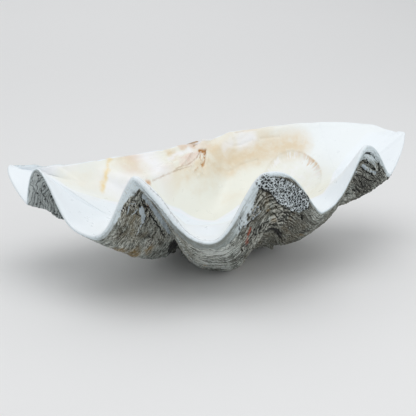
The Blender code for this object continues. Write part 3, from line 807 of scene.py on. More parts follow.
# Tints inside: half width in mm and strength, then x and y by turns in mm from the umbo
bowlTints = {
    "tan": (
        # the first tan: a band below the back edge right of the umbo, partly tan and partly painted shade of
        # the hollow under that edge
        (20, 0.85, 20, -18, 62, -24, 107, -28, 150, -37, 185, -47),
        (10, 0.7, -18, -55, 10, -42, 31, -36, 64, -34, 103, -40),
        (22, 0.5, -165, -30, -150, -52, -140, -75), (8.5, 0.8, -68, -36, -54, -38, -60, -50),
        (3, 0.9, -45, -20, -16, -10), (3.5, 0.9, -6, -1, 10, 3), (6, 0.6, -45, -73, -14, -61),
        (2.4, 0.8, 88, 2, 112, -3), (3.5, 0.65, -10, -47, 28, -36, 64, -34, 103, -40),
        (13, 0.45, -86, -88, -40, -68, 10, -48),
    ),
    "yellow": (
        (4.8, 1, -203, -116, -198, -100, -190, -86), (4, 0.75, -190, -86, -182, -68, -176, -52, -168, -36),
        (7, 0.4, -205, -50, -180, -40, -150, -34), (18, 0.15, -260, -110, -235, -105, -212, -100),
    ),
    "pink": (
        (20, 0.7, -150, -38, -128, -52), (8.5, 0.9, -46, -58, -22, -38, -12, -26),
        (6, 0.8, -46, -18, -20, -12), (6, 0.5, -10, -12, 12, -10), (2, 1, 3, -27, 3, -28),
        (22, 0.4, -150, -85, -130, -80), (8, 0.6, -110, -80, -70, -68),
    ),
    "orange": (
        (2.4, 1.2, -7, -24, -5, -19, 1, -16.5, 6, -19, 3, -23.5),
        (1.1, 0.8, -4.4, -27.5, -7.6, -37, -6.6, -40.5), (2.2, 1, 1.2, -31, 1, -32),
        (1.7, 1.1, 0.5, -38.5, -3, -43.5, -7, -49), (3, 0.8, -121, -102, -116, -101),
        (1, 0.5, -26, -65, -18, -58),
    ),
    "line": (
        (0.9, 0.55, -35, -62, -54, -71, -67, -77, -88, -87.5, -110, -98),
        (1, 0.6, -62, -71.5, -35, -57.6, -15.5, -39, -7, -26), (0.8, 0.4, -78, -81.5, -60, -72.5),
        (1.2, 0.5, -30, -60, -44, -66), (1.1, 0.9, -15.5, -12.5, -4, -6, 13, -1.5), (1, 0.5, 14, -1, 30, 3),
        (1, 0.4, 70, 6, 86, 3), (0.8, 0.35, -21, -27, -37, -50, -52, -66),
    ),
    "milk": (
        (24, 0.95, -120, -30, -105, -55, -98, -78), (22, 0.85, -190, -105, -160, -112, -135, -110),
        (6, 0.9, -66, -52, -40, -30, -24, -22), (12, 0.9, 78, -4, 98, -10), (8, 0.6, 45, -12, 60, -6),
        (10, 0.8, -250, -88, -300, -100),
    ),
}

# where the mantle was fixed: cream on the hinge side of this line, white between it and the lip
pallialLine = (
    -345, -103, -306, -107, -283, -115, -268, -128, -250, -137, -221, -141, -195, -134, -160, -126,
    -110, -114, -62, -111, -30, -119, 0, -125, 25, -112, 51, -102, 85, -120, 120, -165, 150, -207,
    172, -222, 192, -205, 205, -165, 225, -130, 262, -100, 310, -75, 345, -85,
)


def tintField(kind, points):
    x, y = points[..., 0], points[..., 1]
    if kind in ("line", "orange"):
        wobble = 0.0006 * noiseAt(points, 210.0, 8.0, 2)
    else:
        wobble = 0.005 * noiseAt(points, 45.0, 8.0, 3)
    value = np.zeros(x.shape)
    for half, strength, *path in bowlTints[kind]:
        ridge = ridgeAlong(x + wobble, y - wobble, thousandths(path), half * 0.0015)
        value = np.maximum(value, strength * ridge)
    return value


def mantleSide(points):
    # distance in mm from the pallial line, positive on the side of the hinge
    x, y = points[..., 0], points[..., 1]
    line = thousandths(pallialLine)
    best = lineDistance(x, y, line)
    above = (y > np.interp(x, *line.T)) & (x > line[0, 0]) & (x < line[-1, 0])
    return 1000.0 * np.where(above, best, -best)


def creamShare(points):
    # the cream fades to white toward both ends
    x, y = points[..., 0], points[..., 1]
    right = ramp(x + 0.6 * np.maximum(y + 0.12, 0.0), (0.13, 0.15)) * ramp(y, (-0.17, 0.06))
    left = ramp(-x, (0.17, 0.06))
    return (1.0 - 0.85 * right) * (1.0 - 0.40 * left) * ramp(x, (-0.315, 0.04))


def stepped(count):
    # points of a sheet's row, so that the back's coarse steps fit
    return sheet["backStep"] * round(count / sheet["backStep"]) + 1


def makeSheet(name, span):
    # one dense sheet, closed by a coarser back inside the shell
    step = sheet["backStep"]
    spacing = sheet["netSpacing" if span[0] < netCorners[0] / 1000.0 < span[1] else "spacing"]
    columns = stepped((span[1] - span[0]) * sheet["aroundLength"] / spacing)
    rows = stepped((1.0 - sheet["lowGrowth"]) * sheet["growthLength"] / spacing)
    edge = edgePoints(np.linspace(*span, columns))
    s = np.repeat(np.linspace(1.0, sheet["lowGrowth"], rows)[:, None], columns, axis=1)
    plain = skinPoints(edge, s)
    out = normalsOfGrid(plain, (0.0, -1.0, 0.0))
    share = edge[None, :, 4]
    toSide = np.minimum(share - span[0], span[1] - share) * sheet["aroundLength"]
    hold = smooth(np.minimum(toSide, (s - sheet["lowGrowth"]) * sheet["growthLength"]) / sheet["border"])
    below = (1.0 - s) * sheet["growthLength"]
    top = plain - out * (sheet["borderSink"] * (1.0 - hold))[:, :, None]
    thick = np.minimum(sheet["thickness"], 0.35 * lipWidths(edge) + 0.08 * below) * (0.25 + 0.75 * hold)
    back = (top - out * thick[:, :, None])[::step, ::step]
    fields = {
        "growth": s, "around": np.broadcast_to(share, s.shape), "outside": np.ones(s.shape),
        "hold": hold * smooth(below / sheet["rimFade"]),
        "wall": 1000.0 * (0.5 * lipWidths(edge) + 0.10 * below),
        **skinFields(share, s, plain),
    }
    return sheetMesh(name, top, back, fields)


def sheetMesh(name, top, back, fields):
    # a dense top and its coarse back, joined round the border
    step = sheet["backStep"]
    rows, columns = top.shape[:2]
    vertices = np.vstack([top.reshape(-1, 3), back.reshape(-1, 3)]) + np.array(valve["umboPlace"])
    vertices[:, 2] = np.maximum(vertices[:, 2], 0.0)
    faces = []
    first = np.arange(rows * columns).reshape(rows, columns)
    under = rows * columns + np.arange(back[..., 0].size).reshape(back.shape[:2])
    for grid, order in ((first, 1), (under, -1)):
        quads = np.stack([grid[:-1, :-1], grid[:-1, 1:], grid[1:, 1:], grid[1:, :-1]], axis=-1).reshape(-1, 4)
        faces += quads[:, ::order].tolist()
    borders = [(g[0], g[:, -1], g[-1, ::-1], g[::-1, 0]) for g in (first, under)]
    for fine, coarse in zip(*borders):
        for i in range(len(coarse) - 1):
            part = fine[i * step:(i + 1) * step + 1]
            faces += [[int(after), int(before), int(coarse[i])] for before, after in zip(part, part[1:])]
            faces.append([int(part[-1]), int(coarse[i]), int(coarse[i + 1])])
    corners = np.array([face[:3] for face in faces])
    a, b, c = (vertices[corners[:, k]] for k in range(3))
    middle = vertices.mean(axis=0)
    if np.einsum("ij,ij->", a - middle, np.cross(b - middle, c - middle)) < 0.0:
        faces = [face[::-1] for face in faces]
    backed = {}
    for field, values in fields.items():
        behind = values[::step, ::step] * (0.0 if field == "hold" else 1.0)
        backed[field] = np.concatenate([values.ravel(), behind.ravel()])
    return addMesh(name, vertices, faces, backed)


# A finer layer over the hinge and the muscle's scar, whose lines are too thin for the rings of the bowl
hingeLayer = {
    "left": -0.165, "right": 0.235, "start": 0.0022, "reach": 0.135, "spacing": 0.00125,
    "lift": 0.0006, "borderSink": 0.0016, "border": 0.010, "rimBorder": 0.004, "thickness": 0.008,
    "baseSink": 0.0055, "baseSideMargin": 0.0095, "baseRimMargin": 0.0035,
    "hatchAngle": 14.0, "hatchReach": 2.5, "scarStrong": (0.45, 0.80), "scarFaint": (1.1, 1.5),
    # cuts and steps: half width and depth in mm, then x and y by turns in mm
    "cuts": (
        (2.4, 5, -6, -21, 0, -17.5, 5, -18, 3, -22.5), (1.6, 3, -4.4, -27.5, -7.6, -37, -6.6, -40.5),
        (2, 4, 3, -24, 1.2, -31, -3, -43.5, -7, -49),
        (1.2, 1, -35, -62, -54, -71, -67, -77, -88, -87.5, -110, -98),
        (1.2, 1.4, -62, -71.5, -35, -57.6, -15.5, -39, -7, -26), (1.2, -1.2, -50, -66.5, -24, -47.5),
        (2, -2, -21, -27, -37, -50, -52, -66, -64.5, -74.5), (1.4, 2, -15.5, -12.5, -4, -6, 13, -1.5),
        (1.5, -2, -28, -66, -18, -58), (1.3, -1.6, -22, -68, -10, -60), (1.3, -1.6, -34, -64, -24, -54.5),
        (1.5, -1.4, -10, -18, -11, -30, -12, -42), (1.5, -1.4, 9, -16, 7.5, -30, 3, -45),
        (1.5, -0.8, -110, -60, -60, -30), (1.3, -0.8, -100, -70, -52, -36),
        (1.3, 1.2, 50, -6, 75, -10, 100, -12), (1.2, 0.9, 115, -16, 150, -24),
        (2.2, 0.8, -15, -52, 10, -43, 35, -36, 70, -34, 103, -40),
    ),
}


def makeHingeLayer(base):
    # grid over the bowl beside the back edge, dropped onto the bowl from above
    step, size = sheet["backStep"], hingeLayer
    backX, backY, _ = backEdge(edgePoints())
    columns = stepped((size["right"] - size["left"]) / size["spacing"])
    rows = stepped((size["reach"] - size["start"]) / size["spacing"])
    x, inward = np.meshgrid(np.linspace(size["left"], size["right"], columns),
                            np.linspace(size["start"], size["reach"], rows))
    y = np.interp(x, backX, backY) - inward
    umboX, umboY, umboZ = valve["umboPlace"]
    mesh = base.data
    tree = BVHTree.FromPolygons([v.co for v in mesh.vertices], [tuple(p.vertices) for p in mesh.polygons])
    z = np.array([tree.ray_cast(Vector((a + umboX, b + umboY, 1.0)), Vector((0.0, 0.0, -1.0)))[0].z - umboZ
                  for a, b in zip(x.ravel().tolist(), y.ravel().tolist())]).reshape(x.shape)
    for _ in range(3):
        evenOut(z)
    points = np.stack([x, y, z], axis=-1)

    def holdAt(x, inward, sideMargin=0.0, rimMargin=0.0):
        toSide = np.minimum(x - size["left"], size["right"] - x)
        toSide = np.minimum(toSide, size["reach"] - inward) - sideMargin
        toRim = inward - size["start"] - rimMargin
        return smooth(np.minimum(toSide / size["border"], toRim / size["rimBorder"]))

    hold = holdAt(x, inward)
    places = np.empty(3 * len(mesh.vertices), np.float32)
    mesh.vertices.foreach_get("co", places)
    places = places.reshape(-1, 3)
    outside = np.empty(len(mesh.vertices), np.float32)
    mesh.attributes["outside"].data.foreach_get("value", outside)
    baseX = places[:, 0] - umboX
    baseInward = np.interp(baseX, backX, backY) - (places[:, 1] - umboY)
    sunk = holdAt(baseX, baseInward, size["baseSideMargin"], size["baseRimMargin"])
    places[:, 2] -= size["baseSink"] * sunk * (outside < 0.3)
    mesh.vertices.foreach_set("co", places.ravel())
    mesh.update()

    wobble = 0.0006 * noiseAt(points, 210.0, 8.0, 2)
    height = np.zeros(x.shape)
    for half, depth, *path in size["cuts"]:
        height -= 0.001 * depth * ridgeAlong(x + wobble, y - wobble, thousandths(path), half * 0.0015)
    grown = points * np.array([40.0, 330.0, 40.0])
    height += 0.00030 * noiseAt(grown, 1.0, 9.0, 3) * smooth(1.0 - inward / 0.075)
    cx, cy = bowl["scarCentre"]
    u, v = (x - cx) / bowl["scarRadius"][0], (y - cy) / bowl["scarRadius"][1]
    scar, angle = np.hypot(u, v), np.arctan2(v, u)
    rays = np.stack([angle * size["hatchAngle"], scar * size["hatchReach"], 0.0 * x], axis=-1)
    hatch = noiseAt(rays, 1.0, 2.0, 3)
    strong, faint = bell(angle, *size["scarStrong"]), bell(angle, *size["scarFaint"])
    inner = smooth((scar - 0.86 + 0.24 * hatch) / 0.14) * smooth((1.03 - scar) / 0.05)
    height += 0.0004 * hatch * smooth((scar - 0.70) / 0.15) * smooth((1.02 - scar) / 0.04)
    height -= 0.0007 * smooth((1.0 - scar) / 0.03)

    out = normalsOfGrid(points, (0.0, 0.0, 1.0))
    top = points + out * ((size["lift"] + height) * hold - size["borderSink"] * (1.0 - hold))[:, :, None]
    back = top[::step, ::step].copy()
    back[:, :, 2] -= size["thickness"] * (0.20 + 0.80 * hold[::step, ::step])
    fields = {
        "growth": np.ones(x.shape), "outside": np.zeros(x.shape), "hold": hold, "scar": scar,
        "mantle": mantleSide(points), "creamy": creamShare(points),
        "hinge": smooth(1.0 - inward / 0.06) * 0.5,
        **{kind: tintField(kind, points) for kind in bowlTints},
    }
    fields["tan"] = np.maximum(fields["tan"], inner * np.maximum(strong, 0.55 * faint))
    fields["orange"] = np.maximum(fields["orange"], 0.40 * strong * inner)
    fleck = smooth((hatch - 0.12) / 0.12) * smooth((scar - 0.78) / 0.08) * smooth((0.99 - scar) / 0.05)
    fields["milk"] = np.maximum(fields["milk"], 0.7 * fleck * smooth((angle + 0.6) / 0.3))
    return sheetMesh("hingeLayer", top, back, fields)


# Relief that wear, borers and stops in growth leave on the outside: one pattern, which one tree raises on the
# meshes and the finish colours
relief = {
    "shell": {"Ledge Height": 0.0006, "Line Height": 0.0002, "Lump Height": 0.0014, "Pit Depth": 0.0010,
              "Grain Height": 0.0, "Worm Height": 0.0},
    "sheets": {"Ledge Height": 0.0042, "Line Height": 0.00055, "Lump Height": 0.0020, "Pit Depth": 0.0024,
               "Grain Height": 0.0004, "Worm Height": 0.0018},
    "sizes": {"Ledge Spacing": 0.0100, "Ledge Sway": 5.0, "Line Spacing": 0.0036, "Line Sway": 6.0,
              "Lump Size": 0.012, "Pit Size": 0.0060, "Net Size": 0.0058, "Grain Size": 0.0034,
              "Net Depth": 0.0032},
}


def wearPattern(tree, where, fields, sizes):
    # ledges, lines, pits and net at a place, as numbers that both kinds of tree can use
    noisy = partial(noiseField, tree, where)
    growth, net, band, rough, worm = (fields[name] for name in ("growth", "net", "band", "rough", "worm"))
    along = (1.0 - growth) * sheet["growthLength"]
    sway = noisy(24.0, 3.0, 0.6) - 0.5
    jitter = noisy(160.0, 2.0, 0.6)
    ragged = (jitter - 0.5) * 0.9 + (noisy(75.0, 2.0, 0.6) - 0.5) * 1.6
    bandHere = (band + ragged).between(-0.15, 0.25)
    calm = 1.0 - bandHere * 0.85
    clear = 1.0 - net
    even = rough.between(0.30, 0.40, 1.0, 0.0)
    made = {"calm": calm, "band": bandHere, "even": even}
    # ledges and lines: position from 0 at the dark notch to 1 at the next, and how strong each is here
    q = along / sizes["Ledge Spacing"] + sway * sizes["Ledge Sway"] + (jitter - 0.5) * 0.5
    made["ledge"] = q.sum("FRACT")
    made["ledgeHere"] = noisy(15.0, 2.0).between(0.38, 0.62) * rough * clear * calm
    q = along / sizes["Line Spacing"] * (1.0 - even * 0.35) + sway * sizes["Line Sway"] + (jitter - 0.5) * 0.6
    made["line"] = q.sum("FRACT")
    lined = noisy(42.0, 2.0).between(0.35, 0.60).most(even * 1.3)
    made["lineHere"] = lined * clear * (1.0 - bandHere * 0.6)
    made["worm"] = (noisy(52.0, 1.0, 0.4, 0.8) * 10.0).sum("FRACT").within(0.0, 0.30, 0.55, 0.85)
    made["wormHere"] = worm.between(0.1, 0.6) * clear * calm
    made["lump"] = noisy(1.0 / sizes["Lump Size"], 3.0, 0.55) - 0.5
    made["grain"] = noisy(1.0 / sizes["Grain Size"], 2.0, 0.6) - 0.5
    pits = {"Vector": where, "Scale": 1.0 / sizes["Pit Size"]}
    cells = addNode(tree, "ShaderNodeTexVoronoi", pits)
    bored = noisy(31.0, 3.0, 0.6).between(0.53, 0.60) * calm * clear
    made["pit"] = (1.0 - Field(tree, cells.outputs["Distance"]).between(0.14, 0.42)) * bored
    # the net's holes are the middles of cells whose walls are bent a little
    twist = addNode(tree, "ShaderNodeTexNoise", {"Vector": where, "Scale": 120.0, "Detail": 2.0}).outputs[1]
    twist = addNode(tree, "ShaderNodeVectorMath", {0: twist, 1: (0.003, 0.003, 0.003)}, operation="MULTIPLY")
    twisted = addNode(tree, "ShaderNodeVectorMath", {0: where, 1: twist.outputs[0]}, operation="ADD")
    holes = {"Vector": twisted.outputs[0], "Scale": 1.0 / sizes["Net Size"]}
    walls = addNode(tree, "ShaderNodeTexVoronoi", holes, feature="DISTANCE_TO_EDGE")
    made["netHole"] = Field(tree, walls.outputs[0]).between(0.062, 0.125) * net * jitter.between(0.18, 0.30)
    return made


def makeReliefTree():
    tree = bpy.data.node_groups.new("shellRelief", "GeometryNodeTree")
    names = [*relief["sheets"], *relief["sizes"]]
    tree.interface.new_socket("Geometry", in_out="OUTPUT", socket_type="NodeSocketGeometry")
    kinds = {"Geometry": "Geometry", **dict.fromkeys(names, "Float"), "Material": "Material"}
    for name, kind in kinds.items():
        tree.interface.new_socket(name, in_out="INPUT", socket_type="NodeSocket" + kind)
    start = addNode(tree, "NodeGroupInput")
    given = {name: Field(tree, start.outputs[name]) for name in names}
    position = addNode(tree, "GeometryNodeInputPosition").outputs[0]
    normal = addNode(tree, "GeometryNodeInputNormal").outputs[0]
    fields = {}
    for name in ("growth", "outside", "hold", "net", "hole", "lump", "band", "rough", "worm", "wall"):
        made = addNode(tree, "GeometryNodeInputNamedAttribute", {"Name": name}, data_type="FLOAT")
        fields[name] = Field(tree, made.outputs["Attribute"])

    worn = wearPattern(tree, position, fields, given)
    f = worn["ledge"]
    height = f.between(0.05, 0.22) * (1.0 - f) - (1.0 - f.between(0.0, 0.10)) * 0.35
    height = height * worn["ledgeHere"] * given["Ledge Height"]
    height = height + (1.0 - worn["line"]) * worn["lineHere"] * given["Line Height"]
    for name in ("Lump", "Grain"):
        height = height + worn[name.lower()] * 2.0 * given[name + " Height"] * worn["calm"]
    height = height + fields["lump"] * 0.001 + fields["net"] * 0.0006 - worn["pit"] * given["Pit Depth"]
    height = height - worn["netHole"] * given["Net Depth"] - fields["hole"] * 0.001
    height = height + (worn["worm"] - 0.5) * worn["wormHere"] * given["Worm Height"]
    height = (height * fields["outside"] * fields["hold"]).most(fields["wall"] * -0.001)

    offset = addNode(tree, "ShaderNodeVectorMath", {0: normal, "Scale": height}, operation="SCALE")
    moved = addNode(tree, "ShaderNodeVectorMath", {0: position, 1: offset.outputs[0]}, operation="ADD")
    x, y, z = addNode(tree, "ShaderNodeSeparateXYZ", {0: moved.outputs[0]}).outputs
    aboveFloor = Field(tree, z).most(0.0)
    place = addNode(tree, "ShaderNodeCombineXYZ", {0: x, 1: y, 2: aboveFloor}).outputs[0]

    # the shader reads the height, and the place before the move
    shape = start.outputs["Geometry"]
    for name, kind, value in (("wear", "FLOAT", height * 1000.0), ("rest", "FLOAT_VECTOR", position)):
        shape = addNode(tree, "GeometryNodeStoreNamedAttribute", data_type=kind, domain="POINT",
                        inputs={"Geometry": shape, "Name": name, "Value": value}).outputs[0]
    shape = addNode(tree, "GeometryNodeSetPosition", {"Geometry": shape, "Position": place}).outputs[0]
    shape = addNode(tree, "GeometryNodeRealizeInstances", {"Geometry": shape}).outputs[0]
    material = start.outputs["Material"]
    shape = addNode(tree, "GeometryNodeSetMaterial", {"Geometry": shape, "Material": material}).outputs[0]
    addNode(tree, "NodeGroupOutput", {"Geometry": shape})
    return tree


def growWith(thing, tree, values):
    # run a tree on a thing and keep the result as its plain mesh
    modifier = thing.modifiers.new(tree.name, "NODES")
    modifier.node_group = tree
    for item in tree.interface.items_tree:
        if item.item_type == "SOCKET" and item.in_out == "INPUT" and item.name in values:
            modifier[item.identifier] = values[item.name]
    graph = bpy.context.evaluated_depsgraph_get()
    grown = thing.evaluated_get(graph)
    mesh = bpy.data.meshes.new_from_object(grown, preserve_all_data_layers=True, depsgraph=graph)
    thing.modifiers.remove(modifier)
    thing.data = mesh
    mesh.name = thing.name


# Worn shell: porcelain white, cream and tan inside, grey and brown, bored and layered outside, with painted
# shade and highlights
finishAndPaintedLight = {
    "white": rgb(238, 244, 248), "cream": rgb(239, 239, 228), "upper": rgb(235, 233, 222),
    "tan": rgb(224, 203, 168), "yellow": rgb(238, 214, 158), "pink": rgb(229, 209, 196),
    "orange": rgb(196, 138, 66), "milk": rgb(244, 244, 246), "line": rgb(176, 144, 116),
    # crevice is painted shade: the near-black put into cracks, pits and holes
    "crevice": rgb(22, 22, 21), "dark": rgb(70, 72, 66), "mid": rgb(140, 146, 140),
    "pale": rgb(204, 210, 206),
    "brown": rgb(122, 112, 86), "ochre": rgb(134, 113, 72), "rust": rgb(158, 84, 62),
    "blueGrey": rgb(184, 196, 203), "chalk": rgb(208, 208, 198), "band": rgb(142, 150, 147),
    "brightBand": rgb(220, 232, 237), "netWall": rgb(226, 236, 240), "umbo": rgb(198, 170, 140),
    # gloom and under are painted shade, for shaded places and the undersides of the folds
    "gloom": rgb(40, 40, 40), "under": rgb(30, 30, 36), "lipLine": rgb(120, 122, 114),
    "innerRoughness": 0.30, "outerRoughness": 0.86, "bumpStrength": 0.7, "bumpDistance": 0.0016,
}


def shellMaterial():
    material = bpy.data.materials.new("wornShellWithPaintedLight")
    material.use_nodes = True
    tree = material.node_tree
    shader = tree.nodes["Principled BSDF"]
    where = addNode(tree, "ShaderNodeTexCoord").outputs["Object"]
    rest = addNode(tree, "ShaderNodeAttribute", attribute_name="rest").outputs["Vector"]
    noisy, restNoise = partial(noiseField, tree, where), partial(noiseField, tree, rest)

    def mix(share, first, second):
        # two colours, or their names, by a share of the second
        first, second = (finishAndPaintedLight[colour] if isinstance(colour, str) else colour for colour in (first, second))
        both = {0: share, 6: first, 7: second}
        return addNode(tree, "ShaderNodeMix", both, data_type="RGBA", clamp_factor=True).outputs[2]

    def layered(base, layers):
        for share, colour in layers:
            base = mix(share, base, colour)
        return base

    @cache
    def attribute(name):
        return Field(tree, addNode(tree, "ShaderNodeAttribute", attribute_name=name).outputs["Fac"])

    growth, around, outside, net, shade, blue, mantle, creamy, scar = map(attribute, (
        "growth", "around", "outside", "net", "shade", "blue", "mantle", "creamy", "scar"))
    alongSkin = addNode(tree, "ShaderNodeCombineXYZ", {
        0: around * sheet["aroundLength"], 1: growth * sheet["growthLength"] + outside * 0.012}).outputs[0]

    def streaks(longScale, crossScale, detail):
        stretch = {"Vector": alongSkin, "Scale": (longScale, crossScale, 1.0)}
        sized = addNode(tree, "ShaderNodeMapping", stretch)
        return noiseField(tree, sized.outputs[0], 1.0, detail, 0.6, 0.4)

    large, medium, fine = noisy(8.0, 3.0), noisy(34.0, 4.0, 0.6), noisy(260.0, 3.0, 0.65)
    broad, thin = streaks(11.0, 120.0, 4.0), streaks(28.0, 360.0, 3.0)

    # outside: grey skin with streaks along the lines of growth, with painted shade that makes it darker in
    # its hollows
    fields = {name: attribute(name) for name in ("growth", "net", "band", "rough", "worm")}
    worn = wearPattern(tree, rest, fields, relief["sizes"])
    tone = (broad - 0.5) * 1.5 + (thin - 0.5) * 1.9 + (medium - 0.5) * 1.3 + (fine - 0.5) * 1.6
    tone = tone + (restNoise(19.0, 2.0, 0.5) - 0.5) * 1.5
    # painted shade and light from the relief's height: hollows darker, raised places lighter
    tone = tone + attribute("wear") * 0.11 + worn["grain"] * 0.3 + 0.5 - shade * 0.75
    # the first crest's smoother face: its own blue-grey, and painted light that makes it lighter as if lit
    # from the left
    evenAndLit = worn["even"] * growth.between(0.72, 0.90, 0.25, 1.0)
    onThird = around.between(0.325, 0.348) * (1.0 - around.between(0.46, 0.50) * 0.4)
    tone = tone + evenAndLit * (0.46 + (broad - 0.5) * 1.4 + (thin - 0.5) * 1.2) - onThird * 0.40
    f, g = worn["ledge"], worn["line"]
    # painted highlights: the edges of ledges and the ridges between dark lines lightened in chalk colour
    edgeLight = f.within(0.12, 0.24, 0.30, 0.48) * worn["ledgeHere"]
    lineLight = g.within(0.35, 0.55, 0.65, 0.90) * worn["lineHere"]
    netTone = (restNoise(110.0, 2.0, 0.6) - 0.5) * 1.6 + (fine - 0.5) * 1.2 + net - 0.4
    netWall = mix(netTone.between(0.10, 0.60), "mid", "netWall")
    pale = (blue + (restNoise(190.0, 3.0, 0.6) - 0.5) * 1.6).between(0.35, 0.70) * blue.between(0.05, 0.3)
    brightness = fields["band"] * 0.30 + (thin - 0.5) * 1.6 + (medium - 0.5) * 0.9
    brightness = brightness + attribute("bandLight") * 1.1 - 0.25 + (1.0 - outside.between(0.55, 1.0)) * 0.75
    band = mix(brightness.between(0.0, 1.0), "band", "brightBand")
    # painted shade in the cracks: ledge notches, dark lines, gaps between worm tubes, pits and holes; the
    # specks are the crust's own dark pores
    shadedCracks = (1.0 - f.between(0.02, 0.14)) * worn["ledgeHere"]
    shadedCracks = shadedCracks.most((1.0 - g.between(0.10, 0.32)) * worn["lineHere"] * 0.55)
    shadedCracks = shadedCracks.most((1.0 - worn["worm"]).between(0.55, 0.95) * worn["wormHere"] * 0.9)
    shadedCracks = shadedCracks.most(worn["pit"]).most((worn["netHole"] * 1.5).between(0.0, 1.0))
    specks = restNoise(300.0, 1.0, 0.5)
    crusted = medium.between(0.42, 0.60) * (1.0 - worn["even"]) * (1.0 - net)
    shadedCracks = shadedCracks.most(specks.between(0.60, 0.68) * crusted * (1.0 - worn["band"] * 0.8) * 0.8)
    shadedCracks = (shadedCracks * (1.0 - pale * 0.75)).most((attribute("hole") * 0.5).between(0.25, 0.9))
    skin = layered(mix(tone.between(0.15, 0.55), "dark", "mid"), (
        (tone.between(0.55, 0.95), "pale"),
        (large.between(0.44, 0.66) * medium.between(0.35, 0.6) * 0.5, "brown"),
        (attribute("brown") * (thin + fine).between(0.75, 1.1), "brown"),
        (attribute("ochre") * (fine + medium).between(0.75, 1.1), "ochre"),
        (edgeLight * fine.between(0.35, 0.6) * 0.8, "chalk"),
        (lineLight * 0.40, "chalk"),
        (worn["worm"] * worn["wormHere"] * fine.between(0.3, 0.5), "chalk"),
        (evenAndLit * (1.0 - around.between(0.10, 0.14)) * 0.45, "blueGrey"),
        (net * 0.95, netWall),
        (pale * fine.between(0.25, 0.5, 0.6, 1.0), "blueGrey"),
        (attribute("rust") * fine.between(0.3, 0.55), "rust"),
        (worn["band"] * (medium + fine).between(0.6, 1.05, 0.8, 1.0), band),
        ((1.0 - specks.between(0.33, 0.41)) * crusted * 0.45, "chalk"),
        # painted shade: gloom where shade is marked, and near-black under where marked shade lies low on the
        # folds
        (shade * medium.between(0.38, 0.60) * 0.30, "gloom"),
        ((shade * (1.0 - growth.between(0.78, 0.88))).between(0.1, 0.8) * 0.75, "under"),
        (shadedCracks * 0.94, "crevice"),
        ((1.0 - growth.between(0.04, 0.13)) * fine.between(0.3, 0.5, 0.7, 1.0), "umbo"),
    ))

    # inside: cream up to the pallial line, white from there to the lip, tan, pink and yellow at the hinge
    soft, cloud = noisy(18.0, 4.0, 0.6), noisy(60.0, 4.0, 0.65)
    unevenness = {"tan": 0.45, "pink": 0.6, "milk": 0.3, "yellow": 0.5, "orange": 0.4, "line": 0.6}
    inner = layered(mix(mantle.between(-1.0, 4.0) * creamy, "white", "cream"), (
        (mantle.between(60.0, 100.0) * creamy * 0.7, "upper"),
        # painted highlight: a thin whiter line along the pallial line
        (mantle.within(-5.0, -1.0, -1.0, 2.5) * creamy * 0.8, "milk"),
        (soft.between(0.48, 0.70) * mantle.between(0.0, 30.0) * creamy * 0.20, "tan"),
        *((attribute(kind) * cloud.between(0.30, 0.62, 1.0 - uneven, 1.0), kind)
          for kind, uneven in unevenness.items()),
        (scar.within(0.80, 0.97, 0.99, 1.08) * cloud.between(0.42, 0.62) * 0.12, "tan"),
        ((1.0 - scar.between(0.55, 0.95)) * cloud.between(0.4, 0.7) * 0.5, "milk"),
    ))

    # the lip: thin broken lines in the valleys, where the outside begins
    valleys = around.within(0.215, 0.25, 0.335, 0.365) + around.within(0.165, 0.175, 0.19, 0.205) * 0.5
    frayed = outside + (medium - 0.5) * 0.7 + (fine - 0.5) * 0.4
    lipLine = (frayed.within(0.16, 0.24, 0.26, 0.36) * 0.5).most(frayed.within(0.80, 0.92, 0.96, 1.10) * 0.65)
    atLip = growth.between(0.985, 0.995) * outside.between(0.03, 0.10)
    colour = mix(outside.between(0.30, 0.90), inner, skin)
    plug(tree, shader.inputs["Base Color"], mix(lipLine * valleys * atLip, colour, "lipLine"))
    rough = outside.between(0.2, 0.9, finishAndPaintedLight["innerRoughness"], finishAndPaintedLight["outerRoughness"])
    plug(tree, shader.inputs["Roughness"], rough + (cloud - 0.5) * 0.18)
    height = (fine * 0.9 + thin * 0.8 + medium * 0.5 - shadedCracks * 1.2) * outside
    height = height + (soft * 0.9 + cloud * 0.12 * (1.0 + attribute("hinge") * 4.0)) * (1.0 - outside)
    bump = addNode(tree, "ShaderNodeBump", {
        "Strength": finishAndPaintedLight["bumpStrength"], "Distance": finishAndPaintedLight["bumpDistance"], "Height": height})
    plug(tree, shader.inputs["Normal"], bump.outputs[0])
    return material


wornShellWithPaintedLight = shellMaterial()
reliefTree = makeReliefTree()
print("finish and relief made")


def finishPiece(thing, heights):
    # every mesh is a layer of the same natural body
    growWith(thing, reliefTree, {**relief[heights], **relief["sizes"], "Material": wornShellWithPaintedLight})
    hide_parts("giant_clam_shell")
    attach(thing, "root")
    print(thing.name, "made,", len(thing.data.polygons), "faces")


clamShell = makeValve()
finishPiece(clamShell, "shell")
hingeSheet = makeHingeLayer(clamShell)
finishPiece(hingeSheet, "shell")
for sheetName, sheetSpan in sheet["spans"].items():
    skinSheet = makeSheet(sheetName, sheetSpan)
    finishPiece(skinSheet, "sheets")


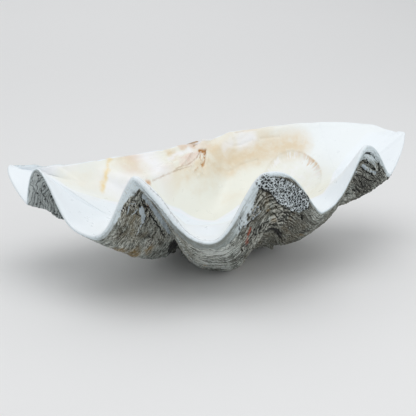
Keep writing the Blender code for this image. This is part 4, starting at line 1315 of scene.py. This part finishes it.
# Floor, light and camera
studio = {
    "floorSize": 12.0, "floorDrop": 0.0006, "floorColour": rgb(234, 234, 234), "floorRoughness": 0.9,
    "sky": 0.62, "skyColour": (0.97, 0.985, 1.0, 1.0),
    "cameraPlace": (-0.39207, -1.76612, 0.52642), "azimuth": -13.0, "elevation": 20.0,
    "lens": 85.24, "sensor": 36.0,
    # each light's place and aim, its size in m and its power
    "lights": {
        "keyLight": ((-0.10, -0.30, 2.2), (0.0, 0.0, 0.1), 2.0, 18.3),
        "fillLight": ((1.4, -1.8, 0.9), (0.0, 0.0, 0.1), 1.6, 7.0),
        "farLight": ((0.2, 3.4, 2.2), (0.2, 3.6, 0.0), 3.0, 16.0),
    },
}


def makeStudio():
    scene = bpy.context.scene
    half = studio["floorSize"] / 2
    mesh = bpy.data.meshes.new("studioFloor")
    corners = [(-half, -half), (half, -half), (half, half), (-half, half)]
    mesh.from_pydata([(x, y, -studio["floorDrop"]) for x, y in corners], [], [(0, 1, 2, 3)])
    paper = bpy.data.materials.new("palePaper")
    paper.use_nodes = True
    shader = paper.node_tree.nodes["Principled BSDF"]
    shader.inputs["Base Color"].default_value = studio["floorColour"]
    shader.inputs["Roughness"].default_value = studio["floorRoughness"]
    mesh.materials.append(paper)
    addObject("studioFloor", mesh)

    world = bpy.data.worlds.new("studioLight")
    world.use_nodes = True
    sky = world.node_tree.nodes["Background"]
    sky.inputs["Color"].default_value = studio["skyColour"]
    sky.inputs["Strength"].default_value = studio["sky"]
    scene.world = world
    for name, (place, aim, size, power) in studio["lights"].items():
        light = bpy.data.lights.new(name, "AREA")
        light.size = size
        light.energy = power
        lamp = addObject(name, light)
        lamp.location = place
        lamp.rotation_euler = (Vector(aim) - Vector(place)).to_track_quat("-Z", "Y").to_euler()

    view = bpy.data.cameras.new("photoView")
    view.lens = studio["lens"]
    view.sensor_width = studio["sensor"]
    camera = addObject("photoView", view)
    turn, tilt = math.radians(studio["azimuth"]), math.radians(studio["elevation"])
    back = Vector((math.sin(turn) * math.cos(tilt), -math.cos(turn) * math.cos(tilt), math.sin(tilt)))
    right = Vector((math.cos(turn), math.sin(turn), 0.0))
    facing = Matrix((right, back.cross(right), back)).transposed().to_4x4()
    place = Vector(studio["cameraPlace"]) + Vector(valve["umboPlace"])
    camera.matrix_world = Matrix.Translation(place) @ facing
    scene.camera = camera
    scene.view_settings.view_transform = "Standard"
    scene.view_settings.look = "None"


makeStudio()
print("studio made")
